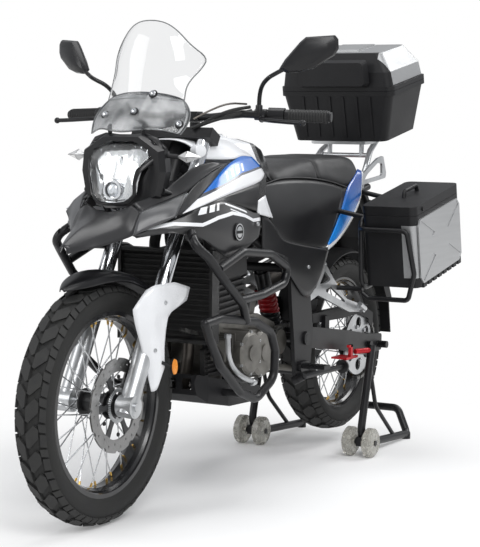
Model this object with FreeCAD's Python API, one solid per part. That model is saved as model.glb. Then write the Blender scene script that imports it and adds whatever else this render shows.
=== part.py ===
import FreeCAD, Part
import math
import os

# Adventure motorcycle on its paddock stand.
# Millimetres. +X is forward, +Y is the rider's left, +Z is up.
# The origin lies on the ground, at the middle of the overall length and width.

# Overall sizes
OVERALL_LENGTH = 2105.0
WHEELBASE = 1435.0
FRONT_TYRE_RADIUS = 330.0
FRONT_TYRE_WIDTH = 102.0
FRONT_RIM_SEAT_RADIUS = 241.0
FRONT_RIM_INNER_RADIUS = 226.0
REAR_TYRE_RADIUS = 300.0
REAR_TYRE_WIDTH = 128.0
REAR_RIM_SEAT_RADIUS = 216.0
REAR_RIM_INNER_RADIUS = 201.0
REAR_AXLE_HEIGHT = 347.0

X_FRONT_AXLE = OVERALL_LENGTH / 2 - FRONT_TYRE_RADIUS
X_REAR_AXLE = X_FRONT_AXLE - WHEELBASE
Z_FRONT_AXLE = FRONT_TYRE_RADIUS

# Clearances
SEAT_GAP = 0.3
PIN_GAP = 0.4
MOVING_GAP = 5.0

# Steering geometry
RAKE_DEG = 28.5
STEERING_OFFSET = 35.0
FORK_HALF_SPACING = 98.0
STANCHION_RADIUS = 21.5
LOWER_LEG_RADIUS = 26.0
LOWER_LEG_TOP_Z = 600.0
STANCHION_TOP_Z = 1050.0
LOWER_YOKE_Z = 880.0
UPPER_YOKE_Z = 1030.0
YOKE_THICKNESS = 32.0
STEM_RADIUS = 15.0
HEAD_TUBE_RADIUS = 27.0
HEAD_TUBE_BORE = 18.0

# Wheels
AXLE_RADIUS = 12.0
SPOKE_COUNT = 36
SPOKE_RADIUS = 1.9
SPOKE_LEAN_DEG = 38.0
NIPPLE_RADIUS = 3.2
NIPPLE_LENGTH = 12.0
NIPPLE_TILT = 0.7
FRONT_DISC_RADIUS = 128.0
FRONT_DISC_INNER_RADIUS = 92.0
FRONT_DISC_Y = 60.0
FRONT_DISC_THICKNESS = 5.0
REAR_DISC_RADIUS = 110.0
DISC_PETALS = 12
DISC_SCALLOP_RADIUS = 11.0
DISC_HOLE_RADIUS = 3.6
REAR_DISC_Y = -92.0
SPROCKET_RADIUS = 106.0
SPROCKET_Y = 99.0
SPROCKET_THICKNESS = 6.0

# Swingarm
SWINGARM_PIVOT_X = -209.5
SWINGARM_PIVOT_Z = 421.0
SWINGARM_INNER_Y = 113.0
SWINGARM_OUTER_Y = 140.0
SWINGARM_PIVOT_RADIUS = 26.0

# Frame
FRAME_PLATE_INNER_Y = 142.0
FRAME_PLATE_OUTER_Y = 154.0

# Side stand, folded up beside the frame plate
SIDE_STAND_PIVOT = (-150.0, 158.0, 300.0)
SIDE_STAND_LEAN_DEG = 27.0
SIDE_STAND_PIN_RADIUS = 6.0
SIDE_STAND_LENGTH = 282.0

# Handlebar
BAR_RADIUS = 11.0
BAR_X = 294.0
RISER_TOP_Z = 1088.0
GRIP_RADIUS = 17.0
GRIP_END_X = 222.0
GRIP_END_Y = 439.0
GRIP_END_Z = 1106.0
GRIP_LENGTH = 125.0
MIRROR_STEM_X = 276.0
MIRROR_STEM_Y = 240.0

# Luggage
BOX_TILT_DEG = 11.0
BOX_WALL = 4.0

# Paddock stand
ROLLER_X = -526.0
ROLLER_RADIUS = 48.0
ROLLER_WIDTH = 34.0
ROLLER_PITCH = 71.0
ROLLER_AXLE_RADIUS = 9.0
STAND_HALF_WIDTH = 204.0
STAND_TUBE_RADIUS = 13.0
STAND_REAR_X = -912.0


def vec(x, y, z):
    return FreeCAD.Vector(x, y, z)


def box(x0, x1, y0, y1, z0, z1):
    return Part.makeBox(x1 - x0, y1 - y0, z1 - z0, vec(x0, y0, z0))


def rod(a, b, radius):
    a = vec(*a)
    b = vec(*b)
    return Part.makeCylinder(radius, (b - a).Length, a, b - a)


def hollow_rod(a, b, outer, inner):
    return rod(a, b, outer).cut(rod(a, b, inner))


def fuse(shapes):
    shapes = list(shapes)
    whole = shapes[0]
    if len(shapes) > 1:
        whole = whole.multiFuse(shapes[1:])
    return whole.removeSplitter()


def mirrored(shape):
    return shape.mirror(vec(0, 0, 0), vec(0, 1, 0))


def both_sides(shape):
    return [shape, mirrored(shape)]


def outward(shape):
    """The same solid with its faces turned outwards."""
    if shape.Volume < 0:
        shape = shape.copy()
        shape.reverse()
    return shape


def bend_path(points, bend):
    points = [vec(*p) for p in points]
    edges = []
    start = points[0]
    for before, corner, after in zip(points, points[1:], points[2:]):
        a = before - corner
        b = after - corner
        half = a.getAngle(b) / 2.0
        if math.pi / 2 - half < 0.01:
            continue
        run = bend / math.tan(half)
        run = min(run, 0.48 * a.Length, 0.48 * b.Length)
        radius = run * math.tan(half)
        a.normalize()
        b.normalize()
        enter = corner + a * run
        leave = corner + b * run
        middle = a + b
        middle.normalize()
        centre = corner + middle * (radius / math.sin(half))
        top = centre - middle * radius
        if (enter - start).Length > 0.01:
            edges.append(Part.makeLine(start, enter))
        edges.append(Part.Arc(enter, top, leave).toShape())
        start = leave
    edges.append(Part.makeLine(start, points[-1]))
    return Part.Wire(edges)


def bent_rod(points, radius, bend):
    path = bend_path(points, bend)
    first = vec(*points[0])
    heading = vec(*points[1]) - first
    circle = Part.Wire([Part.makeCircle(radius, first, heading)])
    return outward(path.makePipe(Part.Face(circle)))


def outline(points, corner=0.0):
    """Closed outline, its corners rounded to the given radius."""
    if corner <= 0:
        points = [vec(*p) for p in points]
        return Part.makePolygon(points + [points[0]])
    first = vec(*points[0])
    last = vec(*points[-1])
    middle = (first + last) * 0.5
    start = (middle.x, middle.y, middle.z)
    return bend_path([start] + list(points) + [start], corner)


def side_plate(points, y0, y1, corner=0.0):
    wire = outline([(x, y0, z) for x, z in points], corner)
    return Part.Face(wire).extrude(vec(0, y1 - y0, 0))


def front_plate(points, x0, x1, corner=0.0):
    wire = outline([(x0, y, z) for y, z in points], corner)
    return Part.Face(wire).extrude(vec(x1 - x0, 0, 0))


def top_plate(points, z0, z1, corner=0.0):
    wire = outline([(x, y, z0) for x, y in points], corner)
    return Part.Face(wire).extrude(vec(0, 0, z1 - z0))


def loft(sections, corner=0.0, ruled=True):
    return outward(Part.makeLoft([outline(s, corner) for s in sections], True, ruled))


def facet_panel(corners, faces, offset):
    """A folded panel: triangles between corners, thickened along offset."""
    plates = []
    for face in faces:
        triangle = Part.Face(outline([corners[i] for i in face]))
        plates.append(triangle.extrude(vec(*offset)))
    return fuse(plates)


def flat_panel(corners, offset):
    return Part.Face(outline(corners)).extrude(vec(*offset))


def wheel_ring(section, x, z):
    wire = outline([(x + r, y, z) for r, y in section])
    return outward(Part.Face(wire).revolve(vec(x, 0, z), vec(0, 1, 0), 360))


def axis_x(z):
    """X of the steering axis at height z."""
    shift = STEERING_OFFSET / math.cos(math.radians(RAKE_DEG))
    slope = math.tan(math.radians(RAKE_DEG))
    return X_FRONT_AXLE - shift - (z - Z_FRONT_AXLE) * slope


def leg_x(z):
    """X of the fork leg centre line at height z."""
    return X_FRONT_AXLE - (z - Z_FRONT_AXLE) * math.tan(math.radians(RAKE_DEG))


def raked(shape, z):
    """Turn a shape built upright on the steering axis at the origin into place."""
    shape = shape.copy()
    shape.rotate(vec(0, 0, 0), vec(0, 1, 0), -RAKE_DEG)
    shape.translate(vec(axis_x(z), 0, z))
    return shape


def save(name, shapes):
    if not isinstance(shapes, (list, tuple)):
        shapes = [shapes]
    solids = []
    for shape in shapes:
        solids.extend(shape.Solids)
    whole = solids[0] if len(solids) == 1 else Part.makeCompound(solids)
    whole.exportStep("parts/" + name + ".step")


# Wheels

def tyre(x, z, radius, seat, width):
    half = width / 2
    bead = 32.5
    section = [
        (seat + SEAT_GAP, -bead), (seat + 13, -bead), (seat + 36, -half),
        (radius - 14, -half + 6), (radius, -half / 3), (radius, half / 3),
        (radius - 14, half - 6), (seat + 36, half), (seat + 13, bead), (seat + SEAT_GAP, bead),
        (seat + SEAT_GAP, bead - 9), (radius - 18, 0), (seat + SEAT_GAP, -bead + 9),
    ]
    return wheel_ring(section, x, z)


def rim(x, z, inner, seat):
    section = [
        (inner, -14), (inner, 14), (inner + 6, 26), (seat - 3, 32.8),
        (seat - 1, 38), (seat + 11, 38), (seat + 11, 32.8), (seat, 32.8),
        (seat, -32.8), (seat + 11, -32.8), (seat + 11, -38), (seat - 1, -38),
        (seat - 3, -32.8), (inner + 6, -26),
    ]
    return wheel_ring(section, x, z)


def hub_with_spokes(x, z, inner, flange, half, count):
    pieces = [
        rod((x, -half, z), (x, half, z), 24),
        rod((x, -half + 4, z), (x, -half + 9, z), flange),
        rod((x, half - 9, z), (x, half - 4, z), flange),
    ]
    for i in range(count):
        side = 1 if i % 2 == 0 else -1
        lean = 1 if i % 4 < 2 else -1
        angle = 2 * math.pi * i / count
        foot = angle - lean * math.radians(SPOKE_LEAN_DEG)
        across = math.cos(angle)
        up = math.sin(angle)
        head = inner - SEAT_GAP - NIPPLE_TILT
        a = vec(x + (flange - 4) * math.cos(foot), side * (half - 6.5), z + (flange - 4) * math.sin(foot))
        b = vec(x + head * across, side * 5.0, z + head * up)
        along = b - a
        along.normalize()
        pieces.append(rod(a, b - along * 4, SPOKE_RADIUS))
        pieces.append(rod(b - along * NIPPLE_LENGTH, b, NIPPLE_RADIUS))
    hub = fuse(pieces)
    return hub.cut(rod((x, -200, z), (x, 200, z), AXLE_RADIUS + PIN_GAP))


def petal_disc(x, y0, y1, z, outer, inner):
    """Brake disc with a scalloped edge and two rings of holes."""
    cuts = []
    for i in range(DISC_PETALS):
        angle = 2 * math.pi * i / DISC_PETALS
        cx = x + (outer + 5) * math.cos(angle)
        cz = z + (outer + 5) * math.sin(angle)
        cuts.append(rod((cx, y0 - 1, cz), (cx, y1 + 1, cz), DISC_SCALLOP_RADIUS))
        for turn, depth in ((0.25, 24), (0.75, 14)):
            hole = angle + 2 * math.pi * turn / DISC_PETALS
            cx = x + (outer - depth) * math.cos(hole)
            cz = z + (outer - depth) * math.sin(hole)
            cuts.append(rod((cx, y0 - 1, cz), (cx, y1 + 1, cz), DISC_HOLE_RADIUS))
    if inner > 0:
        cuts.append(rod((x, y0 - 1, z), (x, y1 + 1, z), inner))
    return rod((x, y0, z), (x, y1, z), outer).cut(cuts)


def build_front_wheel():
    x = X_FRONT_AXLE
    z = Z_FRONT_AXLE
    save("front_tyre", tyre(x, z, FRONT_TYRE_RADIUS, FRONT_RIM_SEAT_RADIUS, FRONT_TYRE_WIDTH))
    hub = hub_with_spokes(x, z, FRONT_RIM_INNER_RADIUS, 38, 46, SPOKE_COUNT)
    save("front_rim", rim(x, z, FRONT_RIM_INNER_RADIUS, FRONT_RIM_SEAT_RADIUS))
    carrier = rod((x, 46, z), (x, FRONT_DISC_Y, z), 30)
    carrier = carrier.cut(rod((x, 40, z), (x, 80, z), AXLE_RADIUS + PIN_GAP))
    save("front_hub", hub.fuse(carrier))
    y0 = FRONT_DISC_Y + SEAT_GAP
    y1 = y0 + FRONT_DISC_THICKNESS
    arms = [petal_disc(x, y0, y1, z, FRONT_DISC_RADIUS, FRONT_DISC_INNER_RADIUS)]
    for i in range(6):
        arm = side_plate([(20, -11), (60, -7), (FRONT_DISC_INNER_RADIUS + 6, -10),
                          (FRONT_DISC_INNER_RADIUS + 6, 10), (60, 7), (20, 11)], y0, y1)
        arm.rotate(vec(0, 0, 0), vec(0, 1, 0), 60 * i)
        arm.translate(vec(x, 0, z))
        arms.append(arm)
    arms.append(rod((x, y0, z), (x, y1, z), 30))
    disc = fuse(arms).cut(rod((x, 40, z), (x, 90, z), AXLE_RADIUS + PIN_GAP))
    save("front_disc", disc)


def build_rear_wheel():
    x = X_REAR_AXLE
    z = REAR_AXLE_HEIGHT
    save("rear_tyre", tyre(x, z, REAR_TYRE_RADIUS, REAR_RIM_SEAT_RADIUS, REAR_TYRE_WIDTH))
    hub = hub_with_spokes(x, z, REAR_RIM_INNER_RADIUS, 52, 60, SPOKE_COUNT)
    ring = rim(x, z, REAR_RIM_INNER_RADIUS, REAR_RIM_SEAT_RADIUS)
    save("rear_rim", ring)
    bore = rod((x, -200, z), (x, 200, z), AXLE_RADIUS + PIN_GAP)
    carrier = rod((x, 60, z), (x, SPROCKET_Y - SPROCKET_THICKNESS / 2 - SEAT_GAP, z), 46)
    disc = petal_disc(x, REAR_DISC_Y, REAR_DISC_Y + FRONT_DISC_THICKNESS, z, REAR_DISC_RADIUS, 0)
    spacer = rod((x, REAR_DISC_Y, z), (x, -55, z), 40)
    hub = fuse([hub, carrier, disc, spacer]).cut(bore)
    save("rear_hub", hub)
    y0 = SPROCKET_Y - SPROCKET_THICKNESS / 2
    y1 = SPROCKET_Y + SPROCKET_THICKNESS / 2
    plate = rod((x, y0, z), (x, y1, z), SPROCKET_RADIUS)
    holes = [bore]
    for i in range(6):
        angle = math.radians(60 * i + 30)
        cx = x + 72 * math.cos(angle)
        cz = z + 72 * math.sin(angle)
        holes.append(rod((cx, y0 - 1, cz), (cx, y1 + 1, cz), 19))
    save("rear_sprocket", plate.cut(holes))


# Front fork and steering

def build_fork():
    stanchions = []
    for side in (1, -1):
        y = side * FORK_HALF_SPACING
        low = (leg_x(LOWER_LEG_TOP_Z + SEAT_GAP), y, LOWER_LEG_TOP_Z + SEAT_GAP)
        high = (leg_x(STANCHION_TOP_Z), y, STANCHION_TOP_Z)
        stanchions.append(rod(low, high, STANCHION_RADIUS))
    save("fork_stanchions", stanchions)
    lowers = []
    for side in (1, -1):
        y = side * FORK_HALF_SPACING
        foot = (leg_x(Z_FRONT_AXLE - 22), y, Z_FRONT_AXLE - 22)
        top = (leg_x(LOWER_LEG_TOP_Z), y, LOWER_LEG_TOP_Z)
        lowers.append(rod(foot, top, LOWER_LEG_RADIUS))
        lowers.append(rod((X_FRONT_AXLE, y - 24, Z_FRONT_AXLE), (X_FRONT_AXLE, y + 24, Z_FRONT_AXLE), 30))
    lowers.append(rod((X_FRONT_AXLE, -128, Z_FRONT_AXLE), (X_FRONT_AXLE, 128, Z_FRONT_AXLE), AXLE_RADIUS))
    save("fork_lowers", fuse(lowers))

    yokes = []
    for z in (LOWER_YOKE_Z, UPPER_YOKE_Z):
        half = YOKE_THICKNESS / 2
        plate = top_plate([(-42, -30), (-42, 30), (0, 70), (10, 132), (60, 132), (62, 60),
                           (62, -60), (60, -132), (10, -132), (0, -70)], -half, half)
        for side in (1, -1):
            plate = plate.cut(rod((STEERING_OFFSET, side * FORK_HALF_SPACING, -60),
                                  (STEERING_OFFSET, side * FORK_HALF_SPACING, 60),
                                  STANCHION_RADIUS + SEAT_GAP))
        yokes.append(raked(plate, z))
    stem = rod((axis_x(LOWER_YOKE_Z), 0, LOWER_YOKE_Z), (axis_x(UPPER_YOKE_Z), 0, UPPER_YOKE_Z), STEM_RADIUS)
    yokes.append(stem)
    for side in (1, -1):
        yokes.append(rod((BAR_X, side * 42, UPPER_YOKE_Z), (BAR_X, side * 42, RISER_TOP_Z), 15))
    save("fork_yokes", fuse(yokes))


def build_handlebar():
    x_mid = BAR_X
    z_mid = RISER_TOP_Z + BAR_RADIUS + 3
    bend = (x_mid, 95, z_mid)
    elbow = (x_mid - 12, 190, 1112)
    tip = (GRIP_END_X, GRIP_END_Y - 6, GRIP_END_Z)
    right = [(x, -y, z) for x, y, z in (tip, elbow, bend)]
    bar = bent_rod(right + [bend, elbow, tip], BAR_RADIUS, 60)
    along = vec(*tip) - vec(*elbow)
    along.normalize()
    end = vec(*tip)
    start = end - along * GRIP_LENGTH
    switch = start - along * 48
    perch = start - along * 88
    pieces = [
        rod(tuple(start), tuple(end), GRIP_RADIUS),
        rod(tuple(switch), tuple(start - along * 2), 21),
        rod(tuple(perch), tuple(switch - along * 6), 16),
        rod((switch.x - 2, switch.y - 18, switch.z), (300, 262, 1097), 9),
        bent_rod([(298, 258, 1097), (322, 300, 1094), (330, 360, 1090), (336, 405, 1088)], 6, 40),
        Part.makeSphere(9, vec(336, 408, 1088)),
        rod(tuple(end - along * 4), tuple(end + along * 7), 14),
    ]
    whole = fuse([bar] + pieces + [mirrored(piece) for piece in pieces])
    clamps = [box(x_mid - 16, x_mid + 16, y0, y0 + 32, RISER_TOP_Z + SEAT_GAP, z_mid + 16) for y0 in (26, -58)]
    bar = fuse([whole] + clamps)
    save("handlebar", bar)
    return bar


MIRROR_HEAD = [(280, 1236), (305, 1222), (430, 1228), (467, 1262), (462, 1320), (400, 1340), (300, 1322),
               (278, 1290)]


def build_mirrors(bar):
    shell = loft([[(298, y, z) for y, z in MIRROR_HEAD],
                  [(276, 372 + (y - 372) * 0.97, 1282 + (z - 1282) * 0.95) for y, z in MIRROR_HEAD]], 16)
    nose = loft([[(298, y, z) for y, z in MIRROR_HEAD],
                 [(314, 372 + (y - 372) * 0.6, 1282 + (z - 1282) * 0.5) for y, z in MIRROR_HEAD]], 10)
    stem = bent_rod([(MIRROR_STEM_X, MIRROR_STEM_Y, 1112), (MIRROR_STEM_X, MIRROR_STEM_Y, 1160),
                     (286, 262, 1205), (292, 310, 1250), (290, 345, 1262)], 6, 30)
    nut = rod((MIRROR_STEM_X, MIRROR_STEM_Y, 1112), (MIRROR_STEM_X, MIRROR_STEM_Y, 1138), 10)
    left = fuse([shell, nose, stem, nut])
    save("mirrors", [side.cut(bar) for side in both_sides(left)])


FRONT_GUARD_RADIUS = 360.0
FRONT_GUARD_WALL = 4.0
FRONT_GUARD_HALF = 62.0
FRONT_GUARD_START_DEG = 63.0
FRONT_GUARD_SWEEP_DEG = 68.0


def build_front_mudguard():
    x = X_FRONT_AXLE
    z = Z_FRONT_AXLE
    crown = FRONT_GUARD_RADIUS
    wall = FRONT_GUARD_WALL
    half = FRONT_GUARD_HALF
    outer = [(crown - 26, -half), (crown + 2, -half + 14), (crown + wall + 2, 0),
             (crown + 2, half - 14), (crown - 26, half)]
    inner = [(r - wall, y * (half - wall) / half) for r, y in reversed(outer)]
    face = Part.Face(outline([(x + r, y, z) for r, y in outer + inner]))
    face.rotate(vec(x, 0, z), vec(0, 1, 0), -FRONT_GUARD_START_DEG)
    guard = face.revolve(vec(x, 0, z), vec(0, 1, 0), -FRONT_GUARD_SWEEP_DEG)
    plan = top_plate([(x + 162, -8), (x + 162, 8), (x + 80, half + 6), (x - 300, half + 6),
                      (x - 300, -half - 6), (x + 80, -half - 6)], z, z + 500, 12)
    guard = guard.common(plan)
    tabs = []
    for side in (1, -1):
        y = side * (half - 3)
        tab = side_plate([(leg_x(640) - 34, 640), (leg_x(640) + 34, 660), (leg_x(564) + 24, 566),
                          (leg_x(564) - 24, 562)], y - 2, y + 2, 8)
        pad = rod((leg_x(582), side * (half - 3), 582), (leg_x(582), side * 84, 582), 12)
        tabs.extend([tab, pad])
    legs = [rod((leg_x(500), s * FORK_HALF_SPACING, 500), (leg_x(700), s * FORK_HALF_SPACING, 700),
                LOWER_LEG_RADIUS + SEAT_GAP) for s in (1, -1)]
    save("front_mudguard", fuse([guard] + tabs).cut(legs))


GUARD_SECTION = [(-78, 137), (10, 139), (38, 122), (52, 95), (50, 66),
                 (45, 66), (47, 92), (34, 117), (8, 133.5), (-78, 131.5)]
GUARD_SIDE = [(538, 662), (420, 655), (440, 612), (512, 562), (552, 470), (582, 356), (604, 344),
              (640, 372), (660, 470), (664, 590), (632, 628), (600, 656)]


def build_fork_guards():
    low = 330.0
    high = 670.0
    wire = outline([(leg_x(low) + dx, y, low) for dx, y in GUARD_SECTION])
    shell = Part.Face(wire).extrude(vec(leg_x(high) - leg_x(low), 0, high - low))
    side = side_plate(GUARD_SIDE, 40, 160, 14)
    guard = shell.common(side)
    bosses = [rod((leg_x(z), FORK_HALF_SPACING, z), (leg_x(z), 135, z), 9) for z in (605, 470)]
    leg = rod((leg_x(200), FORK_HALF_SPACING, 200), (leg_x(700), FORK_HALF_SPACING, 700),
              LOWER_LEG_RADIUS + SEAT_GAP)
    guard = fuse([guard] + bosses).cut(leg)
    save("fork_guards", both_sides(guard))


def build_front_brake():
    x = X_FRONT_AXLE
    z = Z_FRONT_AXLE
    body = side_plate([(x - 150, z + 40), (x - 92, z + 62), (x - 88, z + 122), (x - 132, z + 132),
                       (x - 164, z + 100)], 50, 78)
    slot_y = FRONT_DISC_Y + SEAT_GAP
    slot = rod((x, slot_y - 4, z), (x, slot_y + FRONT_DISC_THICKNESS + 4, z), FRONT_DISC_RADIUS + 6)
    body = body.cut(slot)
    lug = side_plate([(x - 150, z + 60), (x - 120, z + 40), (x - 40, z + 70), (x - 60, z + 128)], 70, 78)
    lug = lug.cut(slot)
    leg = rod((leg_x(200), FORK_HALF_SPACING, 200), (leg_x(700), FORK_HALF_SPACING, 700),
              LOWER_LEG_RADIUS + SEAT_GAP)
    caliper = fuse([body, lug]).cut(leg)
    save("front_caliper", caliper)


# Chassis

def frame_tubes(extra):
    tubes = []
    for side in (1, -1):
        tubes.append(bent_rod([(338, side * 18, 962), (240, side * 92, 850), (0, side * 120, 715),
                               (-150, side * 126, 650)], 19 + extra, 60))
        tubes.append(bent_rod([(352, side * 16, 936), (300, side * 60, 850), (292, side * 92, 740),
                               (292, side * 92, 560)], 16 + extra, 50))
    for side in (1, -1):
        tubes.append(bent_rod([(-120, side * 122, 665), (-240, side * 114, 775), (-760, side * 104, 880)],
                              12 + extra, 40))
        tubes.append(rod((-225, side * 128, 590), (-520, side * 110, 830), 11 + extra))
    tubes.append(rod((-170, -150, 640), (-170, 150, 640), 14 + extra))
    tubes.append(rod((-215, -150, 314), (-215, 150, 314), 12 + extra))
    tubes.append(rod((-560, -110, 840), (-560, 110, 840), 10 + extra))
    tubes.append(rod((-752, -106, 878), (-752, 106, 878), 10 + extra))
    return tubes


def build_frame():
    low = vec(axis_x(LOWER_YOKE_Z), 0, LOWER_YOKE_Z)
    high = vec(axis_x(UPPER_YOKE_Z), 0, UPPER_YOKE_Z)
    along = high - low
    along.normalize()
    reach = YOKE_THICKNESS / 2 + PIN_GAP
    a = low + along * reach
    b = high - along * reach
    head = Part.makeCylinder(HEAD_TUBE_RADIUS, (b - a).Length, a, along)
    bore = Part.makeCylinder(HEAD_TUBE_BORE, (b - a).Length + 10, a - along * 5, along)
    plates = []
    for side in (1, -1):
        y = side * (FRAME_PLATE_INNER_Y + FRAME_PLATE_OUTER_Y) / 2
        half = (FRAME_PLATE_OUTER_Y - FRAME_PLATE_INNER_Y) / 2
        plates.append(side_plate([(-96, 676), (-196, 676), (-238, 560), (-262, 440), (-240, 294), (-146, 294),
                                  (-132, 420), (-112, 540)], y - half, y + half, 16))
        mount_y = side * (FRAME_PLATE_INNER_Y + 30) / 2
        plates.append(side_plate([(276, 600), (308, 600), (306, 400), (284, 382), (262, 400)],
                                 mount_y - 4, mount_y + 4, 8))
    pin = vec(0, math.cos(math.radians(SIDE_STAND_LEAN_DEG)), math.sin(math.radians(SIDE_STAND_LEAN_DEG)))
    base = vec(*SIDE_STAND_PIVOT)
    plates.append(rod(tuple(base - pin * 14), tuple(base + pin * 4), 14))
    plates.append(rod(tuple(base), tuple(base + pin * 28), SIDE_STAND_PIN_RADIUS))
    plates.append(rod(tuple(base + pin * 24.4), tuple(base + pin * 28), 10))
    frame = fuse([head] + frame_tubes(0) + plates).cut(bore)
    pivot = rod((SWINGARM_PIVOT_X, -170, SWINGARM_PIVOT_Z), (SWINGARM_PIVOT_X, 170, SWINGARM_PIVOT_Z), 14 + SEAT_GAP)
    frame = frame.cut(pivot)
    save("main_frame", frame)
    return frame


SWINGARM_SIDE = [(-185, 447), (-300, 446), (-560, 410), (-700, 384), (-822, 374), (-822, 318),
                 (-700, 312), (-540, 345), (-300, 378), (-185, 394)]


BRACE_TOP_Z = 440.0


def build_swingarm():
    arms = []
    for side in (1, -1):
        inner = side * SWINGARM_INNER_Y
        outer = side * SWINGARM_OUTER_Y
        plate = side_plate(SWINGARM_SIDE, min(inner, outer), max(inner, outer), 10)
        arms.append(plate)
    arms.append(box(-345, -285, -SWINGARM_INNER_Y - 5, 78, 382, BRACE_TOP_Z))
    arms.append(rod((SWINGARM_PIVOT_X, -SWINGARM_INNER_Y, SWINGARM_PIVOT_Z),
                    (SWINGARM_PIVOT_X, 78, SWINGARM_PIVOT_Z), SWINGARM_PIVOT_RADIUS))
    arms.append(rod((-250, -SWINGARM_INNER_Y - 5, 410), (-250, SWINGARM_INNER_Y + 5, 410), 12))
    arms.append(rod((SWINGARM_PIVOT_X, -163, SWINGARM_PIVOT_Z), (SWINGARM_PIVOT_X, 163, SWINGARM_PIVOT_Z), 14))
    arms.append(rod((X_REAR_AXLE, -152, REAR_AXLE_HEIGHT), (X_REAR_AXLE, 152, REAR_AXLE_HEIGHT), AXLE_RADIUS))
    for side in (1, -1):
        arms.append(rod((-806, side * 118, 338), (-806, side * 168, 338), 12))
    for side in (1, -1):
        y0 = side * (FRAME_PLATE_OUTER_Y + SEAT_GAP)
        arms.append(rod((SWINGARM_PIVOT_X, y0, SWINGARM_PIVOT_Z), (SWINGARM_PIVOT_X, y0 + side * 8,
                                                                   SWINGARM_PIVOT_Z), 21))
    arms = fuse(arms)
    save("swingarm", arms)
    return arms


def build_chain_guard(arms):
    flange = side_plate([(-338, 482), (-700, 486), (-806, 446), (-806, 404), (-780, 402), (-770, 428),
                         (-690, 452), (-560, 448), (-346, 452)], 109.3, 112.3, 6)
    shelf = side_plate([(-338, 482), (-700, 486), (-764, 477), (-764, 474), (-700, 483), (-338, 479)], 86, 112.3)
    foot = box(-440, -410, 109.3, 124, 410, 470)
    save("chain_guard", fuse([flange, shelf, foot]).cut(arms))


FRONT_SPROCKET_X = -130.0
FRONT_SPROCKET_Z = 415.0
FRONT_SPROCKET_RADIUS = 34.0
CHAIN_INNER = 5.0
CHAIN_HEIGHT = 13.0
CHAIN_WIDTH = 18.0
CHAIN_PITCH = 15.875
CHAIN_NOTCH = 3.6


def build_chain():
    def band(extra):
        ra = SPROCKET_RADIUS + extra
        rb = FRONT_SPROCKET_RADIUS + extra
        a = vec(X_REAR_AXLE, 0, REAR_AXLE_HEIGHT)
        b = vec(FRONT_SPROCKET_X, 0, FRONT_SPROCKET_Z)
        d = (b - a).Length
        base = math.atan2(b.z - a.z, b.x - a.x)
        tilt = math.acos((ra - rb) / d)
        top_a = vec(a.x + ra * math.cos(base + tilt), 0, a.z + ra * math.sin(base + tilt))
        top_b = vec(b.x + rb * math.cos(base + tilt), 0, b.z + rb * math.sin(base + tilt))
        low_a = vec(a.x + ra * math.cos(base - tilt), 0, a.z + ra * math.sin(base - tilt))
        low_b = vec(b.x + rb * math.cos(base - tilt), 0, b.z + rb * math.sin(base - tilt))
        back = vec(a.x - ra * math.cos(base), 0, a.z - ra * math.sin(base))
        nose = vec(b.x + rb * math.cos(base), 0, b.z + rb * math.sin(base))
        wire = Part.Wire([Part.makeLine(low_b, low_a), Part.Arc(low_a, back, top_a).toShape(),
                          Part.makeLine(top_a, top_b), Part.Arc(top_b, nose, low_b).toShape()])
        face = Part.Face(wire)
        y0 = SPROCKET_Y - CHAIN_WIDTH / 2
        face.translate(vec(0, y0, 0))
        return face.extrude(vec(0, CHAIN_WIDTH, 0))
    chain = band(CHAIN_INNER + CHAIN_HEIGHT).cut(band(CHAIN_INNER))
    half = CHAIN_PITCH / 4
    notches = []
    middle = CHAIN_INNER + CHAIN_HEIGHT / 2
    a = vec(X_REAR_AXLE, 0, REAR_AXLE_HEIGHT)
    b = vec(FRONT_SPROCKET_X, 0, FRONT_SPROCKET_Z)
    ra = SPROCKET_RADIUS + middle
    rb = FRONT_SPROCKET_RADIUS + middle
    base = math.atan2(b.z - a.z, b.x - a.x)
    for sign in (1, -1):
        angle = base + sign * math.acos((ra - rb) / (b - a).Length)
        out = vec(math.cos(angle), 0, math.sin(angle))
        start = a + out * ra
        run = (b + out * rb) - start
        count = int(run.Length / CHAIN_PITCH)
        along = vec(run.x, 0, run.z)
        along.normalize()
        for i in range(count):
            spot = start + along * (CHAIN_PITCH * (i + 0.5))
            top = spot + out * (CHAIN_HEIGHT / 2 + 0.5)
            deep = spot + out * (CHAIN_HEIGHT / 2 - CHAIN_NOTCH)
            corners = [top - along * half, top + along * half, deep]
            notches.append(side_plate([(c.x, c.z) for c in corners], SPROCKET_Y - 12, SPROCKET_Y + 12))
    save("drive_chain", chain.cut(notches))


HEADER_LEFT = [(250, 45, 610), (312, 45, 600), (314, 40, 420), (294, 8, 303), (170, -76, 300)]
HEADER_RIGHT = [(250, -45, 610), (312, -45, 600), (314, -42, 420), (296, -62, 302), (60, -86, 300),
                (-60, -172, 290), (-210, -182, 290), (-350, -188, 420), (-420, -190, 500)]
HEADER_RADIUS = 20.0
SIDE_HEADER_RADIUS = 17.0
CAN_RADIUS = 36.0
CAN_LENGTH = 413.0
CAN_RISE_DEG = 14.57


def round_cover(x, z, y0, y1, radius, bolts):
    """Round engine cover: stepped face, centre boss and a ring of bolt bosses."""
    way = 1 if y1 > y0 else -1
    pieces = [
        rod((x, y0, z), (x, y1 - way * 12, z), radius),
        Part.makeCone(radius - 2, radius - 10, 8, vec(x, y1 - way * 12, z), vec(0, way, 0)),
        rod((x, y1 - way * 12, z), (x, y1, z), radius * 0.36),
    ]
    for i in range(bolts):
        angle = 2 * math.pi * (i + 0.5) / bolts
        cx = x + (radius - 2) * math.cos(angle)
        cz = z + (radius - 2) * math.sin(angle)
        pieces.append(rod((cx, y0, cz), (cx, y1 - way * 14, cz), 7))
    return fuse(pieces)


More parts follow.
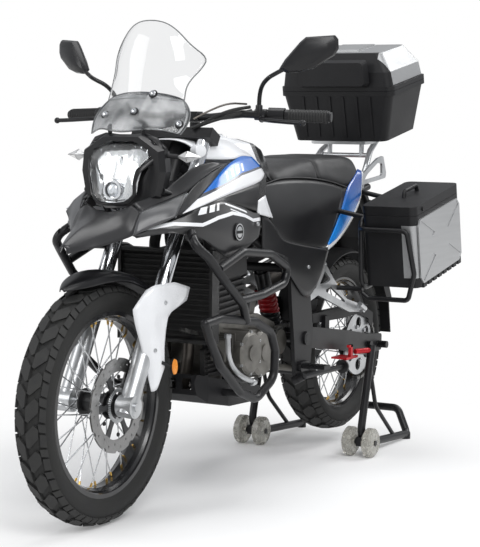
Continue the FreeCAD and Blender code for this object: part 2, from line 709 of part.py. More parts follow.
def build_engine(frame):
    case = side_plate([(-150, 338), (-136, 472), (-20, 512), (240, 520), (276, 470), (288, 392),
                       (262, 330), (60, 318), (-110, 322)], -85, 85, 14)
    sump = side_plate([(40, 298), (196, 298), (214, 336), (20, 336)], 32, 80, 8)
    top_boss = side_plate([(-40, 505), (-60, 560), (20, 566), (70, 512)], -60, 60, 8)
    covers = [round_cover(185, 420, 80, 185, 64, 6), round_cover(20, 400, 80, 138, 72, 7),
              round_cover(185, 420, -80, -160, 70, 6), round_cover(20, 405, -80, -160, 82, 8)]
    bridge = side_plate([(40, 340), (180, 356), (180, 484), (40, 470)], 80, 118, 10)
    pivot_rod = rod((-165, -FRAME_PLATE_INNER_Y + SEAT_GAP, 330), (-165, FRAME_PLATE_INNER_Y - SEAT_GAP, 330), 10)
    rear_lug = side_plate([(-182, 312), (-182, 348), (-130, 352), (-130, 324)], -40, 40, 6)
    case = fuse([case, sump, top_boss, bridge, pivot_rod, rear_lug] + covers)
    case = case.cut(box(-250, -50, 83, 130, 345, 520))
    seat = rod((FRONT_SPROCKET_X, 83, FRONT_SPROCKET_Z), (FRONT_SPROCKET_X, 108, FRONT_SPROCKET_Z),
               FRONT_SPROCKET_RADIUS + CHAIN_INNER - SEAT_GAP)
    case = case.fuse(seat)
    channels = [bent_rod(HEADER_RIGHT[:6], HEADER_RADIUS + 3, 60), bent_rod(HEADER_LEFT, SIDE_HEADER_RADIUS + 3, 50)]
    case = case.cut(channels + [frame])
    solids = sorted(case.Solids, key=lambda solid: -solid.Volume)
    case = solids[0]
    save("engine_case", case)
    fins = [box(92, 248, -92, 92, 520 + SEAT_GAP, 640)]
    for i in range(6):
        z = 530 + 18 * i
        fins.append(top_plate([(80, -104), (80, 104), (260, 104), (260, -104)], z, z + 5, 16))
    head = top_plate([(84, -112), (84, 112), (258, 112), (258, -112)], 640, 702, 10)
    cam_cover = loft([[(90, -106, 702), (252, -106, 702), (252, 106, 702), (90, 106, 702)],
                      [(104, -96, 728), (238, -96, 728), (238, 96, 728), (104, 96, 728)]], 12)
    plugs = [rod((171, y, 722), (171, y, 736), 13) for y in (-45, 45)]
    cylinder = fuse(fins + [head, cam_cover] + plugs)
    cylinder.rotate(vec(150, 0, 520), vec(0, 1, 0), 4)
    cylinder = cylinder.cut([case, frame])
    save("engine_cylinder", cylinder)
    ribs = [side_plate([(226, 354), (326, 360), (330, 440), (232, 446)], 86, 102, 8)]
    for i in range(6):
        z = 366 + 13 * i
        ribs.append(box(236, 322, 84, 110, z, z + 5))
    pipe = bent_rod([(300, 100, 440), (312, 138, 436), (292, 150, 376), (200, 150, 336), (70, 132, 322)], 7, 30)
    save("engine_covers", fuse(ribs + [pipe]).cut([case, frame]))
    return case, cylinder


def build_exhaust(case, cylinder, frame):
    first = bent_rod(HEADER_RIGHT, HEADER_RADIUS, 70)
    second = bent_rod(HEADER_LEFT, SIDE_HEADER_RADIUS, 60)
    profile = [(0, 0), (0, 21), (60, CAN_RADIUS), (165, CAN_RADIUS), (165, CAN_RADIUS + 2),
               (195, CAN_RADIUS + 2), (195, CAN_RADIUS), (CAN_LENGTH, CAN_RADIUS), (CAN_LENGTH + 24, 26),
               (CAN_LENGTH + 24, 20), (CAN_LENGTH + 48, 20), (CAN_LENGTH + 48, 16), (CAN_LENGTH + 16, 16),
               (CAN_LENGTH + 16, 0)]
    face = Part.Face(outline([(-400 - s, -190, 486 + r) for s, r in profile]))
    can = outward(face.revolve(vec(-400, -190, 486), vec(-1, 0, 0), 360))
    can.rotate(vec(-400, -190, 486), vec(0, 1, 0), CAN_RISE_DEG)
    pipes = fuse([first, second, can]).cut([cylinder, frame, case])
    save("exhaust", pipes)
    return pipes


def build_radiator(frame):
    core = box(352, 374, -150, 150, 470, 720)
    rim_frame = box(346, 386, -158, 158, 462, 728).cut(box(340, 400, -148, 148, 472, 718))
    bars = [box(370, 378, -150, 150, 480 + 15 * i, 484 + 15 * i) for i in range(16)]
    brackets = []
    for side in (84, -100):
        for z in (600, 690):
            brackets.append(box(300, 352, side, side + 16, z, z + 18))
    save("radiator", fuse([core, rim_frame] + bars + brackets).cut(frame))


PAN_SIDE = [(47, 262), (243, 268), (340, 288), (378, 314), (386, 350), (378, 374), (293, 354), (60, 306)]
PAN_PLAN = [(30, -138), (30, 138), (250, 138), (340, 122), (392, 100), (392, -100), (340, -122), (250, -138)]
PAN_WALL = 4.0


def pan_block():
    return side_plate(PAN_SIDE, -140, 140, 6).common(top_plate(PAN_PLAN, 200, 420, 10))


def build_belly_pan(case, pipes):
    raised = side_plate([(x - PAN_WALL, z + PAN_WALL) for x, z in PAN_SIDE[:6]] + [(370, 460), (20, 460)], -140, 140)
    narrow = top_plate([(x - PAN_WALL if x > 35 else x - 20, y * 0.965) for x, y in PAN_PLAN], 200, 480)
    pan = pan_block().cut(raised.common(narrow))
    slots = []
    for i in range(4):
        y = -75 + 50 * i
        slots.append(box(360, 400, y - 15, y + 15, 330, 362))
    pan = pan.cut(slots)
    for x, y in ((120, 60), (200, 96), (200, -96), (110, -100)):
        pan = pan.fuse(rod((x, y, 266), (x, y, 420), 8))
    pan = pan.cut([case, pipes])
    solids = sorted(pan.Solids, key=lambda solid: -solid.Volume)
    save("belly_pan", solids[0])


def build_tank(frame):
    sections = []
    for x, half_top, half_low, z_low, z_mid, z_top in TANK_SECTIONS:
        sections.append([(x, -half_low, z_low), (x, -half_low, z_mid), (x, -half_top, z_top - 14),
                         (x, -half_top / 2, z_top), (x, half_top / 2, z_top), (x, half_top, z_top - 14),
                         (x, half_low, z_mid), (x, half_low, z_low)])
    cap = rod((120, 0, 1030), (120, 0, 1052), 32)
    cap_rim = rod((120, 0, 1030), (120, 0, 1047), 44)
    tank = loft(sections, 16)
    tank = fuse([tank, cap, cap_rim]).cut(frame_tubes(SEAT_GAP))
    solids = sorted(tank.Solids, key=lambda solid: -solid.Volume)
    save("fuel_tank", solids[0])
    return solids[0]


TANK_SECTIONS = [
    (-60, 84, 104, 800, 920, 992), (0, 100, 122, 780, 930, 1024), (60, 108, 150, 780, 930, 1040),
    (140, 108, 160, 780, 940, 1044), (228, 96, 150, 800, 935, 1030),
]
SHROUD_CORNERS = [
    (640, 146, 836), (612, 146, 988), (470, 168, 966), (300, 196, 940), (250, 226, 838),
    (440, 236, 838), (561, 226, 809), (668, 205, 816), (632, 212, 786), (523, 226, 738),
    (446, 232, 716), (291, 228, 738), (203, 216, 776),
]
SHROUD_FACES = [
    (0, 1, 7), (1, 2, 7), (2, 6, 7), (2, 5, 6), (2, 3, 5), (3, 4, 5),
    (7, 6, 8), (6, 9, 8), (6, 5, 9), (5, 10, 9), (5, 11, 10), (5, 4, 11), (4, 12, 11),
]


SHROUD_WALL = 6.0


def nose_struts(extra):
    """Tubes that carry the nose, from the frame's head out to both sides."""
    tubes = []
    for side in (1, -1):
        tubes.append(bent_rod([(598, side * 122, 900), (520, side * 130, 880), (420, side * 150, 800),
                               (330, side * 150, 770), (258, side * 84, 868)], 9 + extra, 40))
    return tubes


def build_shrouds(tank):
    panel = facet_panel(SHROUD_CORNERS, SHROUD_FACES, (0, -SHROUD_WALL, 0))
    inside = facet_panel(SHROUD_CORNERS, SHROUD_FACES, (0, 80, 0))
    inside.translate(vec(0, -SHROUD_WALL / 2, 0))
    bosses = []
    for x, y, z in ((424, 146, 806), (596, 120, 888)):
        bosses.append(rod((x, y, z), (x, 240, z), 8).cut([inside] + nose_struts(SEAT_GAP)))
    sides = []
    for shape in both_sides(fuse([panel] + [solid for boss in bosses for solid in boss.Solids])):
        sides.append(sorted(shape.cut(tank).Solids, key=lambda solid: -solid.Volume)[0])
    save("side_shrouds", sides)
    return sides


WING_CORNERS = [
    (290, 197, 940), (324, 178, 983), (209, 168, 994), (87, 158, 970), (138, 166, 916),
    (184, 192, 912), (200, 206, 866), (240, 226, 838), (193, 214, 776),
]
WING_FACES = [(0, 1, 2), (0, 2, 5), (2, 3, 4), (2, 4, 5), (0, 5, 6), (0, 6, 7), (6, 8, 7)]


def build_wings(tank, shrouds):
    panel = facet_panel(WING_CORNERS, WING_FACES, (0, -SHROUD_WALL, 0))
    boss = rod((160, 120, 940), (160, 166, 940), 14)
    panel = fuse([panel, boss])
    wings = []
    for shape in both_sides(panel):
        wings.append(sorted(shape.cut([tank] + shrouds).Solids, key=lambda solid: -solid.Volume)[0])
    save("tank_wings", wings)


BEAK_CORNERS = [
    (876, 0, 760), (780, 60, 790), (690, 80, 866), (690, 0, 880), (744, 122, 786), (641, 146, 836), (780, 0, 815),
]
BEAK_FACES = [(0, 1, 6), (6, 1, 2), (6, 2, 3), (1, 4, 2), (4, 5, 2)]


def build_beak(shrouds):
    right = [(x, -y, z) for x, y, z in BEAK_CORNERS]
    corners = BEAK_CORNERS + right
    faces = BEAK_FACES + [(a + 7, c + 7, b + 7) for a, b, c in BEAK_FACES]
    top = facet_panel(corners, faces, (0, 0, -8))
    keel = loft([[(876, -6, 744), (876, 6, 744), (876, 6, 756), (876, -6, 756)],
                 [(640, -78, 742), (640, 78, 742), (640, 78, 800), (640, -78, 800)]])
    hollow = loft([[(840, -8, 730), (840, 8, 730), (840, 8, 746), (840, -8, 746)],
                   [(630, -70, 730), (630, 70, 730), (630, 70, 792), (630, -70, 792)]])
    stays = [rod((600, y, 862), (690, y, 862), 8) for y in (-70, 70)]
    beak = fuse([top, keel.cut(hollow)] + stays).cut(shrouds)
    solids = sorted(beak.Solids, key=lambda solid: -solid.Volume)
    save("beak", solids[0])
    return solids[0]


def build_headlight():
    front = [(628, -90, 1012), (628, -92, 960), (628, -48, 894), (628, 0, 868), (628, 48, 894), (628, 92, 960),
             (628, 90, 1012), (628, 40, 1036), (628, -40, 1036)]
    back = [(520, y * 0.7, 960 + (z - 960) * 0.7) for x, y, z in front]
    lamp = loft([back, front])
    save("headlight", lamp)
    return lamp


NOSE_RING = [(-128, 1010), (-134, 952), (-120, 884), (-60, 850), (60, 850), (120, 884), (134, 952), (128, 1010),
             (60, 1052), (-60, 1052)]


def build_nose(lamp, frame, shrouds, beak, screen):
    rear = [(560, y * 0.94, 950 + (z - 950) * 0.94) for y, z in NOSE_RING]
    front = [(600, y, z) for y, z in NOSE_RING]
    lip = [(618, y * 0.93, 950 + (z - 950) * 0.93) for y, z in NOSE_RING]
    bezel = fuse([loft([rear, front]), loft([front, lip])])
    bezel = bezel.cut(lamp)
    room = loft([[(555, y * 0.84, 950 + (z - 950) * 0.84) for y, z in NOSE_RING],
                 [(596, y * 0.84, 950 + (z - 950) * 0.84) for y, z in NOSE_RING]])
    hangers = [rod((592, side * 110, 1003), (592, side * NOSE_HALF, 1003), 9) for side in (1, -1)]
    hangers += [rod((588, y, 1030), (588, y, 1092), 6) for y in (-54, 54)]
    lamp_pins = [rod((575, y, 950), (575, y * 1.3, 950), 6) for y in (-86, 86)]
    nose = fuse([bezel.cut(room)] + nose_struts(0) + hangers + lamp_pins)
    nose = nose.cut([lamp, frame, beak, screen] + shrouds)
    save("nose_fairing", sorted(nose.Solids, key=lambda solid: -solid.Volume)[0])


SCREEN_THICKNESS = 4.0


def build_screens():
    lower = [(615, 0, 1058), (602, 90, 1074), (580, 150, 1046), (541, 172, 1112), (474, 80, 1146), (502, 0, 1158)]
    faces = [(0, 1, 5), (1, 4, 5), (1, 2, 4), (2, 3, 4)]
    right = [(x, -y, z) for x, y, z in lower]
    corners = lower + [right[i] for i in (1, 2, 3, 4)]
    all_faces = faces + [(0, 5, 6), (6, 5, 9), (6, 9, 7), (7, 9, 8)]
    lower_screen = facet_panel(corners, all_faces, (-6, 0, -6))
    save("screen_lower", lower_screen)
    upper = [(506, 0, 1158), (478, 84, 1147), (541, 171, 1113), (490, 136, 1142), (480, 115, 1169), (476, 120, 1197),
             (470, 150, 1230), (462, 176, 1262), (463, 140, 1290), (461, 90, 1328), (474, 0, 1368)]
    faces = [(0, 1, 10), (1, 4, 10), (1, 3, 4), (4, 5, 10), (5, 9, 10), (5, 8, 9), (5, 6, 8), (6, 7, 8)]
    right = [(x, -y, z) for x, y, z in upper]
    corners = upper + [right[i] for i in range(1, 10)]

    def other(i):
        return i if i in (0, 10) else i + 10
    all_faces = faces + [(other(a), other(c), other(b)) for a, b, c in faces]
    save("windscreen", facet_panel(corners, all_faces, (-SCREEN_THICKNESS, 0, 0)))
    return lower_screen


RIDER_SEAT = [(-60.3, 92, 76, 905, 940), (-120, 132, 106, 906, 951), (-220, 146, 120, 907, 960),
              (-300, 146, 120, 908, 966), (-330, 138, 108, 910, 970)]
PILLION_SEAT = [(-330.3, 138, 108, 910, 972), (-380, 142, 116, 912, 984), (-540, 138, 114, 916, 989),
                (-640, 122, 100, 918, 978), (-658, 108, 86, 924, 962)]
SEAT_CORNER = 14.0


def cushion(sections, core_low):
    pads = []
    for x, low, top, z_low, z_top in sections:
        pads.append([(x, -low, z_low), (x, -low, z_low + 14), (x, -top, z_top), (x, top, z_top),
                     (x, low, z_low + 14), (x, low, z_low)])
    first = sections[0]
    last = sections[-1]
    core = box(last[0] + 12, first[0] - 4, -first[1] + 14, first[1] - 14, core_low, first[3] + 8)
    return fuse([loft(pads, SEAT_CORNER), core])


SKIRT_CORNERS = [(60, 146, 811), (-13, 156, 742), (-150, 160, 716), (-293, 156, 702), (-430, 152, 800),
                 (-485, 146, 877), (-400, 142, 905), (-200, 142, 903), (-60, 138, 901), (40, 140, 880),
                 (-170, 168, 815)]
SKIRT_WALL = 5.0


def rack_arms(extra):
    arms = []
    for side in (1, -1):
        y = side * (PANNIER_INNER_Y - RACK_TUBE_RADIUS)
        arms.append(rod((-440, y, 794), (-440, side * 108, 818), RACK_TUBE_RADIUS + extra))
        arms.append(rod((-690, y, 840), (-690, side * 104, 866), RACK_TUBE_RADIUS + extra))
    return arms


def build_seats(frame, tank):
    save("rider_seat", cushion(RIDER_SEAT, 820).cut([frame, tank]))
    save("pillion_seat", cushion(PILLION_SEAT, 860).cut([frame, tank]))
    rim_count = len(SKIRT_CORNERS) - 1
    faces = [(i, (i + 1) % rim_count, rim_count) for i in range(rim_count)]
    panel = facet_panel(SKIRT_CORNERS, faces, (0, -SKIRT_WALL, 0))
    inside = facet_panel(SKIRT_CORNERS, faces, (0, 60, 0))
    inside.translate(vec(0, -SKIRT_WALL / 2, 0))
    bosses = [rod((-240, 104, 775), (-240, 180, 775), 10), rod((-60, 112, 690), (-60, 180, 745), 9)]
    panel = fuse([panel] + [boss.cut(inside) for boss in bosses])
    skirts = []
    for shape in both_sides(panel):
        skirts.append(sorted(shape.cut([frame, tank] + rack_arms(SEAT_GAP)).Solids, key=lambda solid: -solid.Volume)[0])
    save("seat_skirts", skirts)


TAIL_SIDE = [(-372, 700), (-392, 680), (-450, 699), (-554, 769), (-640, 838), (-700, 890), (-735, 938),
             (-655, 912), (-505, 889), (-461, 812), (-376, 719)]
COVER_SIDE = [(-20, 706), (-40, 690), (-64, 672), (-153, 608), (-188, 528), (-205, 528), (-279, 583), (-334, 638),
              (-322, 690), (-300, 697), (-150, 710)]
TRIM_THICKNESS = 6.0


def build_tail(frame):
    panel = side_plate(TAIL_SIDE, 150, 150 + TRIM_THICKNESS, 8)
    stay = rod((-520, 96, 832), (-520, 152, 832), 8)
    low_stay = rod((-420, 112, 748), (-420, 152, 735), 8)
    panel = fuse([panel, stay, low_stay]).cut(frame)
    save("tail_panels", [sorted(side.Solids, key=lambda solid: -solid.Volume)[0] for side in both_sides(panel)])
    side = side_plate(COVER_SIDE, FRAME_PLATE_OUTER_Y + SEAT_GAP, FRAME_PLATE_OUTER_Y + SEAT_GAP + TRIM_THICKNESS, 10)
    bolt = rod((-206, 156, 645), (-206, 165, 645), 9)
    save("side_covers", both_sides(fuse([side, bolt])))


def tilted(shape, x, z):
    shape = shape.copy()
    shape.rotate(vec(x, 0, z), vec(0, 1, 0), BOX_TILT_DEG)
    return shape


TOP_BOX_X = -742.0
TOP_BOX_Z = 1031.0
TOP_BOX_LENGTH = 290.0
TOP_BOX_BASE_HALF = 171.0
TOP_BOX_LIP_HALF = 207.0
TOP_BOX_LIP_UP = 172.0
TOP_BOX_TOP_UP = 296.0
LID_GAP = 1.0
PAD_FRONT = [(y, TOP_BOX_Z + TOP_BOX_LIP_UP + up) for y, up in
             ((-132, 30), (-124, 16), (124, 16), (132, 30), (128, 108), (-128, 108))]


TOP_BOX_CORNER = 26.0


def plan_section(x0, x1, half, z):
    return [(x0, -half, z), (x1, -half, z), (x1, half, z), (x0, half, z)]


def build_top_box():
    x1 = TOP_BOX_X
    x0 = x1 - TOP_BOX_LENGTH
    z = TOP_BOX_Z
    lip = z + TOP_BOX_LIP_UP
    top = z + TOP_BOX_TOP_UP

    def shell(inset):
        return loft([plan_section(x0 + 22 + inset, x1 - 10 - inset, TOP_BOX_BASE_HALF - inset, z + inset),
                     plan_section(x0 + inset, x1 - inset, TOP_BOX_LIP_HALF - inset, lip)], TOP_BOX_CORNER)
    rim_band = loft([plan_section(x0 - 4, x1, TOP_BOX_LIP_HALF + 4, lip - 16),
                     plan_section(x0 - 4, x1, TOP_BOX_LIP_HALF + 4, lip)], TOP_BOX_CORNER)
    ribs = []
    for i in range(6):
        y = -125 + 50 * i
        ribs.append(side_plate([(x1 - 16, z + 14), (x1 - 6, z + 14), (x1 + 3, lip - 18), (x1 - 8, lip - 18)],
                               y - 5, y + 5))
    latch = box(x0 - 14, x0 + 4, -26, 26, lip - 40, lip - 2)
    base = fuse([shell(0), rim_band, latch] + ribs).cut(shell(BOX_WALL))

    def cover(inset):
        low = lip + LID_GAP
        return loft([plan_section(x0 + inset, x1 - inset, TOP_BOX_LIP_HALF - inset, low),
                     plan_section(x0 + 8 + inset, x1 - 6 - inset, 198 - inset, low + 62),
                     plan_section(x0 + 46 + inset, x1 - 34 - inset, 160 - inset, top - inset)], TOP_BOX_CORNER)
    brow = loft([plan_section(x0 - 4, x1, TOP_BOX_LIP_HALF + 4, lip + LID_GAP),
                 plan_section(x0 - 4, x1, TOP_BOX_LIP_HALF + 4, lip + 15)], TOP_BOX_CORNER)
    spine = side_plate([(x0 + 60, top - 10), (x1 - 60, top - 10), (x1 - 80, top + 7), (x0 + 80, top + 7)], -60, 60)
    hasp = box(x0 - 12, x0 + 4, -22, 22, lip + LID_GAP, lip + 34)
    lid = fuse([cover(0), brow, spine, hasp]).cut(cover(BOX_WALL))
    pad = loft([[(x1 + 6, y, u) for y, u in PAD_FRONT],
                [(x1 + 30, y * 0.93, lip + 62 + (u - lip - 62) * 0.86) for y, u in PAD_FRONT]], 14)
    back = box(x1 - 34, x1 + 8, -60, 60, lip + 30, lip + 86)
    pad = fuse([pad, back]).cut(cover(-SEAT_GAP))
    pad = sorted(pad.Solids, key=lambda solid: -solid.Volume)[0]
    save("top_box_base", tilted(base, x1, z))
    save("top_box_lid", tilted(lid, x1, z))
    save("backrest_pad", tilted(pad, x1, z))


GRAB_PLATE = [(-664, 886), (-700, 890), (-868, 908), (-872, 926), (-846, 984), (-800, 976), (-690, 928)]
GRAB_WINDOW = [(-690, 902), (-840, 918), (-838, 958), (-800, 960), (-720, 924)]


def build_luggage_rack():
    plate = top_plate([(-1000, -100), (-748, -120), (-748, 120), (-1000, 100)], 0, 10, 30)
    plate = plate.cut([box(-960, -900, -60, 60, -5, 20), box(-860, -800, -70, 70, -5, 20)])
    plate.translate(vec(0, 0, TOP_BOX_Z - 10 - SEAT_GAP))
    plate = tilted(plate, TOP_BOX_X, TOP_BOX_Z)
    rails = []
    for side in (1, -1):
        rail = bent_rod([(-700, side * 105, 868), (-716, side * 104, 908), (-748, side * 103, 950),
                         (-800, side * 92, 1000), (-892, side * 80, 1046)], 10, 30)
        rails.append(rail)
        grab = side_plate(GRAB_PLATE, 114, 122, 10).cut(side_plate(GRAB_WINDOW, 110, 130, 8))
        knob = [rod((-742, 103, 942), (-742, 118, 942), 8)]
        grab = fuse([grab] + knob)
        rails.append(grab if side > 0 else mirrored(grab))
    for y in (-60, 60):
        rails.append(rod((-800, y, 980), (-800, y, 1034), 8))
    rails.append(rod((-800, -92, 985), (-800, 92, 985), 8))
    rack = fuse([plate] + rails).cut(frame_tubes(SEAT_GAP)[4:8])
    rack = sorted(rack.Solids, key=lambda solid: -solid.Volume)[0]
    save("luggage_rack", rack)
    return rack


PANNIER_X_FRONT = -400.0
PANNIER_LENGTH = 369.0
PANNIER_INNER_Y = 249.0
PANNIER_OUTER_Y = 440.0
PANNIER_HEIGHT = 232.0
PANNIER_LID_HEIGHT = 30.0
PANNIER_TOP_Z = 802.0


PANNIER_CORNER = 22.0
PANNIER_PANEL = 5.0


def build_panniers():
    x1 = PANNIER_X_FRONT
    x0 = x1 - PANNIER_LENGTH
    y0 = PANNIER_INNER_Y
    y1 = PANNIER_OUTER_Y - PANNIER_PANEL
    top = PANNIER_TOP_Z
    low = top - PANNIER_HEIGHT
    wall = BOX_WALL

    def plan(inset, z_from, z_to):
        return top_plate([(x0 + inset, y0 + inset), (x1 - inset, y0 + inset), (x1 - inset, y1 - inset),
                          (x0 + inset, y1 - inset)], z_from, z_to, PANNIER_CORNER)
    body = plan(0, low, top).cut(plan(wall, low + wall, top + 10))
    skids = [box(x0 + 18 + 42 * i, x0 + 44 + 42 * i, y1 - 60, y1 + 3, low - 5, low + 20) for i in range(8)]
    body = fuse([body] + [skid.cut(plan(wall, low + wall, top + 10)) for skid in skids])
    lid_low = top + LID_GAP
    lid = plan(0, lid_low, top + PANNIER_LID_HEIGHT).cut(plan(wall, top - 5, top + PANNIER_LID_HEIGHT - wall))
    grip_y = (y0 + y1) / 2
    crown = top + PANNIER_LID_HEIGHT
    grip = bent_rod([(x0 + 130, grip_y, crown - 2), (x0 + 138, grip_y, crown + 20), (x1 - 138, grip_y, crown + 20),
                     (x1 - 130, grip_y, crown - 2)], 7, 14)
    lock = rod((x1 - 60, y1 - 6, lid_low + 12), (x1 - 60, y1 + 4, lid_low + 12), 7)
    lid = fuse([lid, grip, lock]).cut(plan(wall, top - 5, crown - wall))
    lid = sorted(lid.Solids, key=lambda solid: -solid.Volume)[0]
    panel = side_plate([(x0 + 14, low + 28), (x0 + 36, low + 10), (x1 - 30, low + 10), (x1 - 10, low + 34),
                        (x1 - 10, top - 34), (x1 - 26, top - 14), (x0 + 34, top - 14), (x0 + 14, top - 36)],
                       y1, y1 + PANNIER_PANEL, 8)
    groove = []
    for a, b in (((x0 + 30, low + 24), (x1 - 30, top - 28)), ((x0 + 30, top - 28), (x1 - 30, low + 24))):
        run = math.hypot(b[0] - a[0], b[1] - a[1])
        px = -(b[1] - a[1]) / run * 9
        pz = (b[0] - a[0]) / run * 9
        groove.append(side_plate([(a[0] + px, a[1] + pz), (b[0] + px, b[1] + pz), (b[0] - px, b[1] - pz),
                                  (a[0] - px, a[1] - pz)], y1 + PANNIER_PANEL - 2, y1 + PANNIER_PANEL + 2))
    plate = side_plate([(x0 + 120, low + 84), (x0 + 150, low + 70), (x1 - 150, low + 70), (x1 - 120, low + 84),
                        (x1 - 120, top - 88), (x1 - 150, top - 74), (x0 + 150, top - 74), (x0 + 120, top - 88)],
                       y1 + PANNIER_PANEL - 3, y1 + PANNIER_PANEL, 6)
    panel = fuse([panel.cut(groove), plate])
    body = tilted(body, x1, top)
    lid = tilted(lid, x1, top)
    panel = tilted(panel, x1, top).cut(body)
    save("pannier_left", body)
    save("pannier_right", mirrored(body))
    save("pannier_lid_left", lid)
    save("pannier_lid_right", mirrored(lid))
    save("pannier_panels", both_sides(panel))


RACK_TUBE_RADIUS = 8.0


def build_pannier_racks(carrier, hanging):
    racks = []
    tube = RACK_TUBE_RADIUS
    for side in (1, -1):
        y = side * (PANNIER_INNER_Y - tube - SEAT_GAP)
        low = bent_rod([(-420, y, 700), (-430, y, 560), (-750, y, 620), (-738, y, 740)], tube, 40)
        high = bent_rod([(-738, y, 740), (-725, y, 848), (-415, y, 790), (-420, y, 700)], tube, 40)
        joints = [Part.makeSphere(tube, vec(-420, y, 700)), Part.makeSphere(tube, vec(-738, y, 740))]
        arm = rod((-440, y, 794), (-440, side * 108, 818), tube)
        arm2 = rod((-690, y, 840), (-690, side * 104, 866), tube)
        arm3 = rod((-440, y, 562), (-440, side * 146, 562), tube)
        hoop = bent_rod([(-416, y, 757), (-396, side * 262, 757), (-396, side * 408, 757), (-422, side * 426, 620),
                         (-442, side * 398, 534), (-442, side * 262, 534), (-436, y, 552)], tube, 18)
        loop = fuse([low, high, arm, arm2, arm3, hoop] + joints)
        racks.append(loop.cut([carrier] + frame_tubes(SEAT_GAP) + hanging))
    save("pannier_racks", [sorted(rack.Solids, key=lambda solid: -solid.Volume)[0] for rack in racks])


CRASH_TUBE_RADIUS = 12.5
CRASH_UPPER = [(470, 150, 808), (560, 190, 800), (606, 226, 762), (556, 242, 726), (480, 252, 656),
               (382, 255, 584), (340, 244, 532)]
CRASH_LOOP = [(505, 248, 690), (377, 250, 730), (207, 245, 714), (84, 240, 665), (108, 240, 622),
              (253, 245, 600), (400, 254, 596)]
CRASH_LOW_TOP = [(556, 235, 545), (475, 235, 552), (283, 240, 526), (186, 240, 486), (158, 240, 430)]
CRASH_LOW = [(158, 240, 430), (158, 238, 350), (250, 228, 296), (338, 225, 330), (463, 230, 420),
             (530, 235, 500), (556, 235, 545)]


def build_crash_bars(frame, pan, case, shrouds):
    tube = CRASH_TUBE_RADIUS
    pieces = [
        bent_rod(CRASH_UPPER, tube, 60), bent_rod(CRASH_LOOP, tube, 36), bent_rod(CRASH_LOW_TOP, tube, 50),
        bent_rod(CRASH_LOW, tube, 50), Part.makeSphere(tube, vec(*CRASH_LOW[0])),
        Part.makeSphere(tube, vec(*CRASH_LOW[-1])),
        rod((110, 243, 690), (20, 122, 708), 11),
        rod((270, 227, 312), (270, 120, 312), 11),
        rod((345, 250, 594), (345, 240, 536), 10),
    ]
    bars = fuse(pieces)
    sides = []
    for shape in both_sides(bars):
        shape = shape.cut([frame, pan, case] + nose_struts(0) + shrouds)
        sides.append(sorted(shape.Solids, key=lambda solid: -solid.Volume)[0])
    save("crash_bars", sides)


SPRING_TURNS = 8
SPRING_RADIUS = 32.0
SPRING_WIRE = 6.5


def build_shock(frame, arms):
    top = vec(-190, 0, 640)
    low = vec(-306, 0, 386)
    along = top - low
    along.normalize()
    pieces = [rod(tuple(low), tuple(top), 18), rod(tuple(low + along * 200), tuple(low + along * 262), 25)]
    for i in range(SPRING_TURNS):
        spot = low + along * (70 + 16.5 * i)
        pieces.append(Part.makeTorus(SPRING_RADIUS - SPRING_WIRE, SPRING_WIRE, spot, along))
    for start in (60, 190):
        pieces.append(Part.makeCylinder(34, 6, low + along * start, along))
    pieces.append(Part.makeCylinder(27, 134, low + along * 60, along))
    shock = fuse(pieces).cut([frame, arms])
    save("shock_absorber", sorted(shock.Solids, key=lambda solid: -solid.Volume)[0])


HANGER_SIDE = [(-344, 652), (-282, 572), (-214, 560), (-226, 530), (-300, 548), (-534, 474), (-640, 466),
               (-648, 486), (-500, 522), (-400, 602)]
PEG_REACH_LEFT = (-556, 178, 500)
PEG_REACH_RIGHT = (-640, 178, 420)
HANGER_WINDOWS = [[(-346, 622), (-306, 578), (-366, 584), (-392, 592)],
                  [(-392, 568), (-340, 560), (-430, 530), (-498, 508), (-496, 516)]]


def build_pegs(frame):
    hanger = side_plate(HANGER_SIDE, FRAME_PLATE_INNER_Y, 151, 8)
    hanger = hanger.cut([side_plate(window, 140, 156, 5) for window in HANGER_WINDOWS])
    boss = rod((-345, 121, 684), (-345, 149, 640), 9)
    clevis = rod((-618, 138, 478), (-618, 166, 478), 12)
    hangers = []
    for side in (1, -1):
        reach = PEG_REACH_LEFT if side > 0 else PEG_REACH_RIGHT
        peg = bent_rod([(-618, 150, 478), (-618, 170, 478), reach], 8, 10)
        shape = fuse([hanger, clevis, peg, boss])
        hangers.append((shape if side > 0 else mirrored(shape)).cut(frame))
    hangers = [sorted(side.Solids, key=lambda solid: -solid.Volume)[0] for side in hangers]
    save("peg_hangers", hangers)
    plate_y = FRAME_PLATE_OUTER_Y + SEAT_GAP
    peg = side_plate([(-202, 332), (-158, 332), (-158, 346), (-202, 346)], plate_y + 10, 246, 5)
    notches = [box(-206, -154, y, y + 5, 342, 350) for y in (186, 198, 210, 222, 234)]
    bracket = side_plate([(-204, 322), (-156, 322), (-150, 352), (-210, 352)], plate_y, plate_y + 14, 6)
    save("foot_pegs", both_sides(fuse([peg.cut(notches), bracket])))
    return hangers


def build_side_stand():
    lean = math.radians(SIDE_STAND_LEAN_DEG)
    pin = vec(0, math.cos(lean), math.sin(lean))
    base = vec(*SIDE_STAND_PIVOT)
    near = base + pin * (4 + PIN_GAP)
    boss = rod(tuple(near), tuple(base + pin * 24), 13)
    mid = base + pin * 14
    end = (mid.x - SIDE_STAND_LENGTH, mid.y + 5, mid.z)
    leg = rod((mid.x, mid.y, mid.z), end, 9)
    foot = rod(end, (end[0] - 8, end[1], end[2]), 22)
    bore = rod(tuple(base - pin), tuple(base + pin * 30), SIDE_STAND_PIN_RADIUS + PIN_GAP)
    save("side_stand", fuse([boss, leg, foot]).cut(bore))


TAIL_GUARD_HALF = 98.0
X_TAIL = -OVERALL_LENGTH / 2


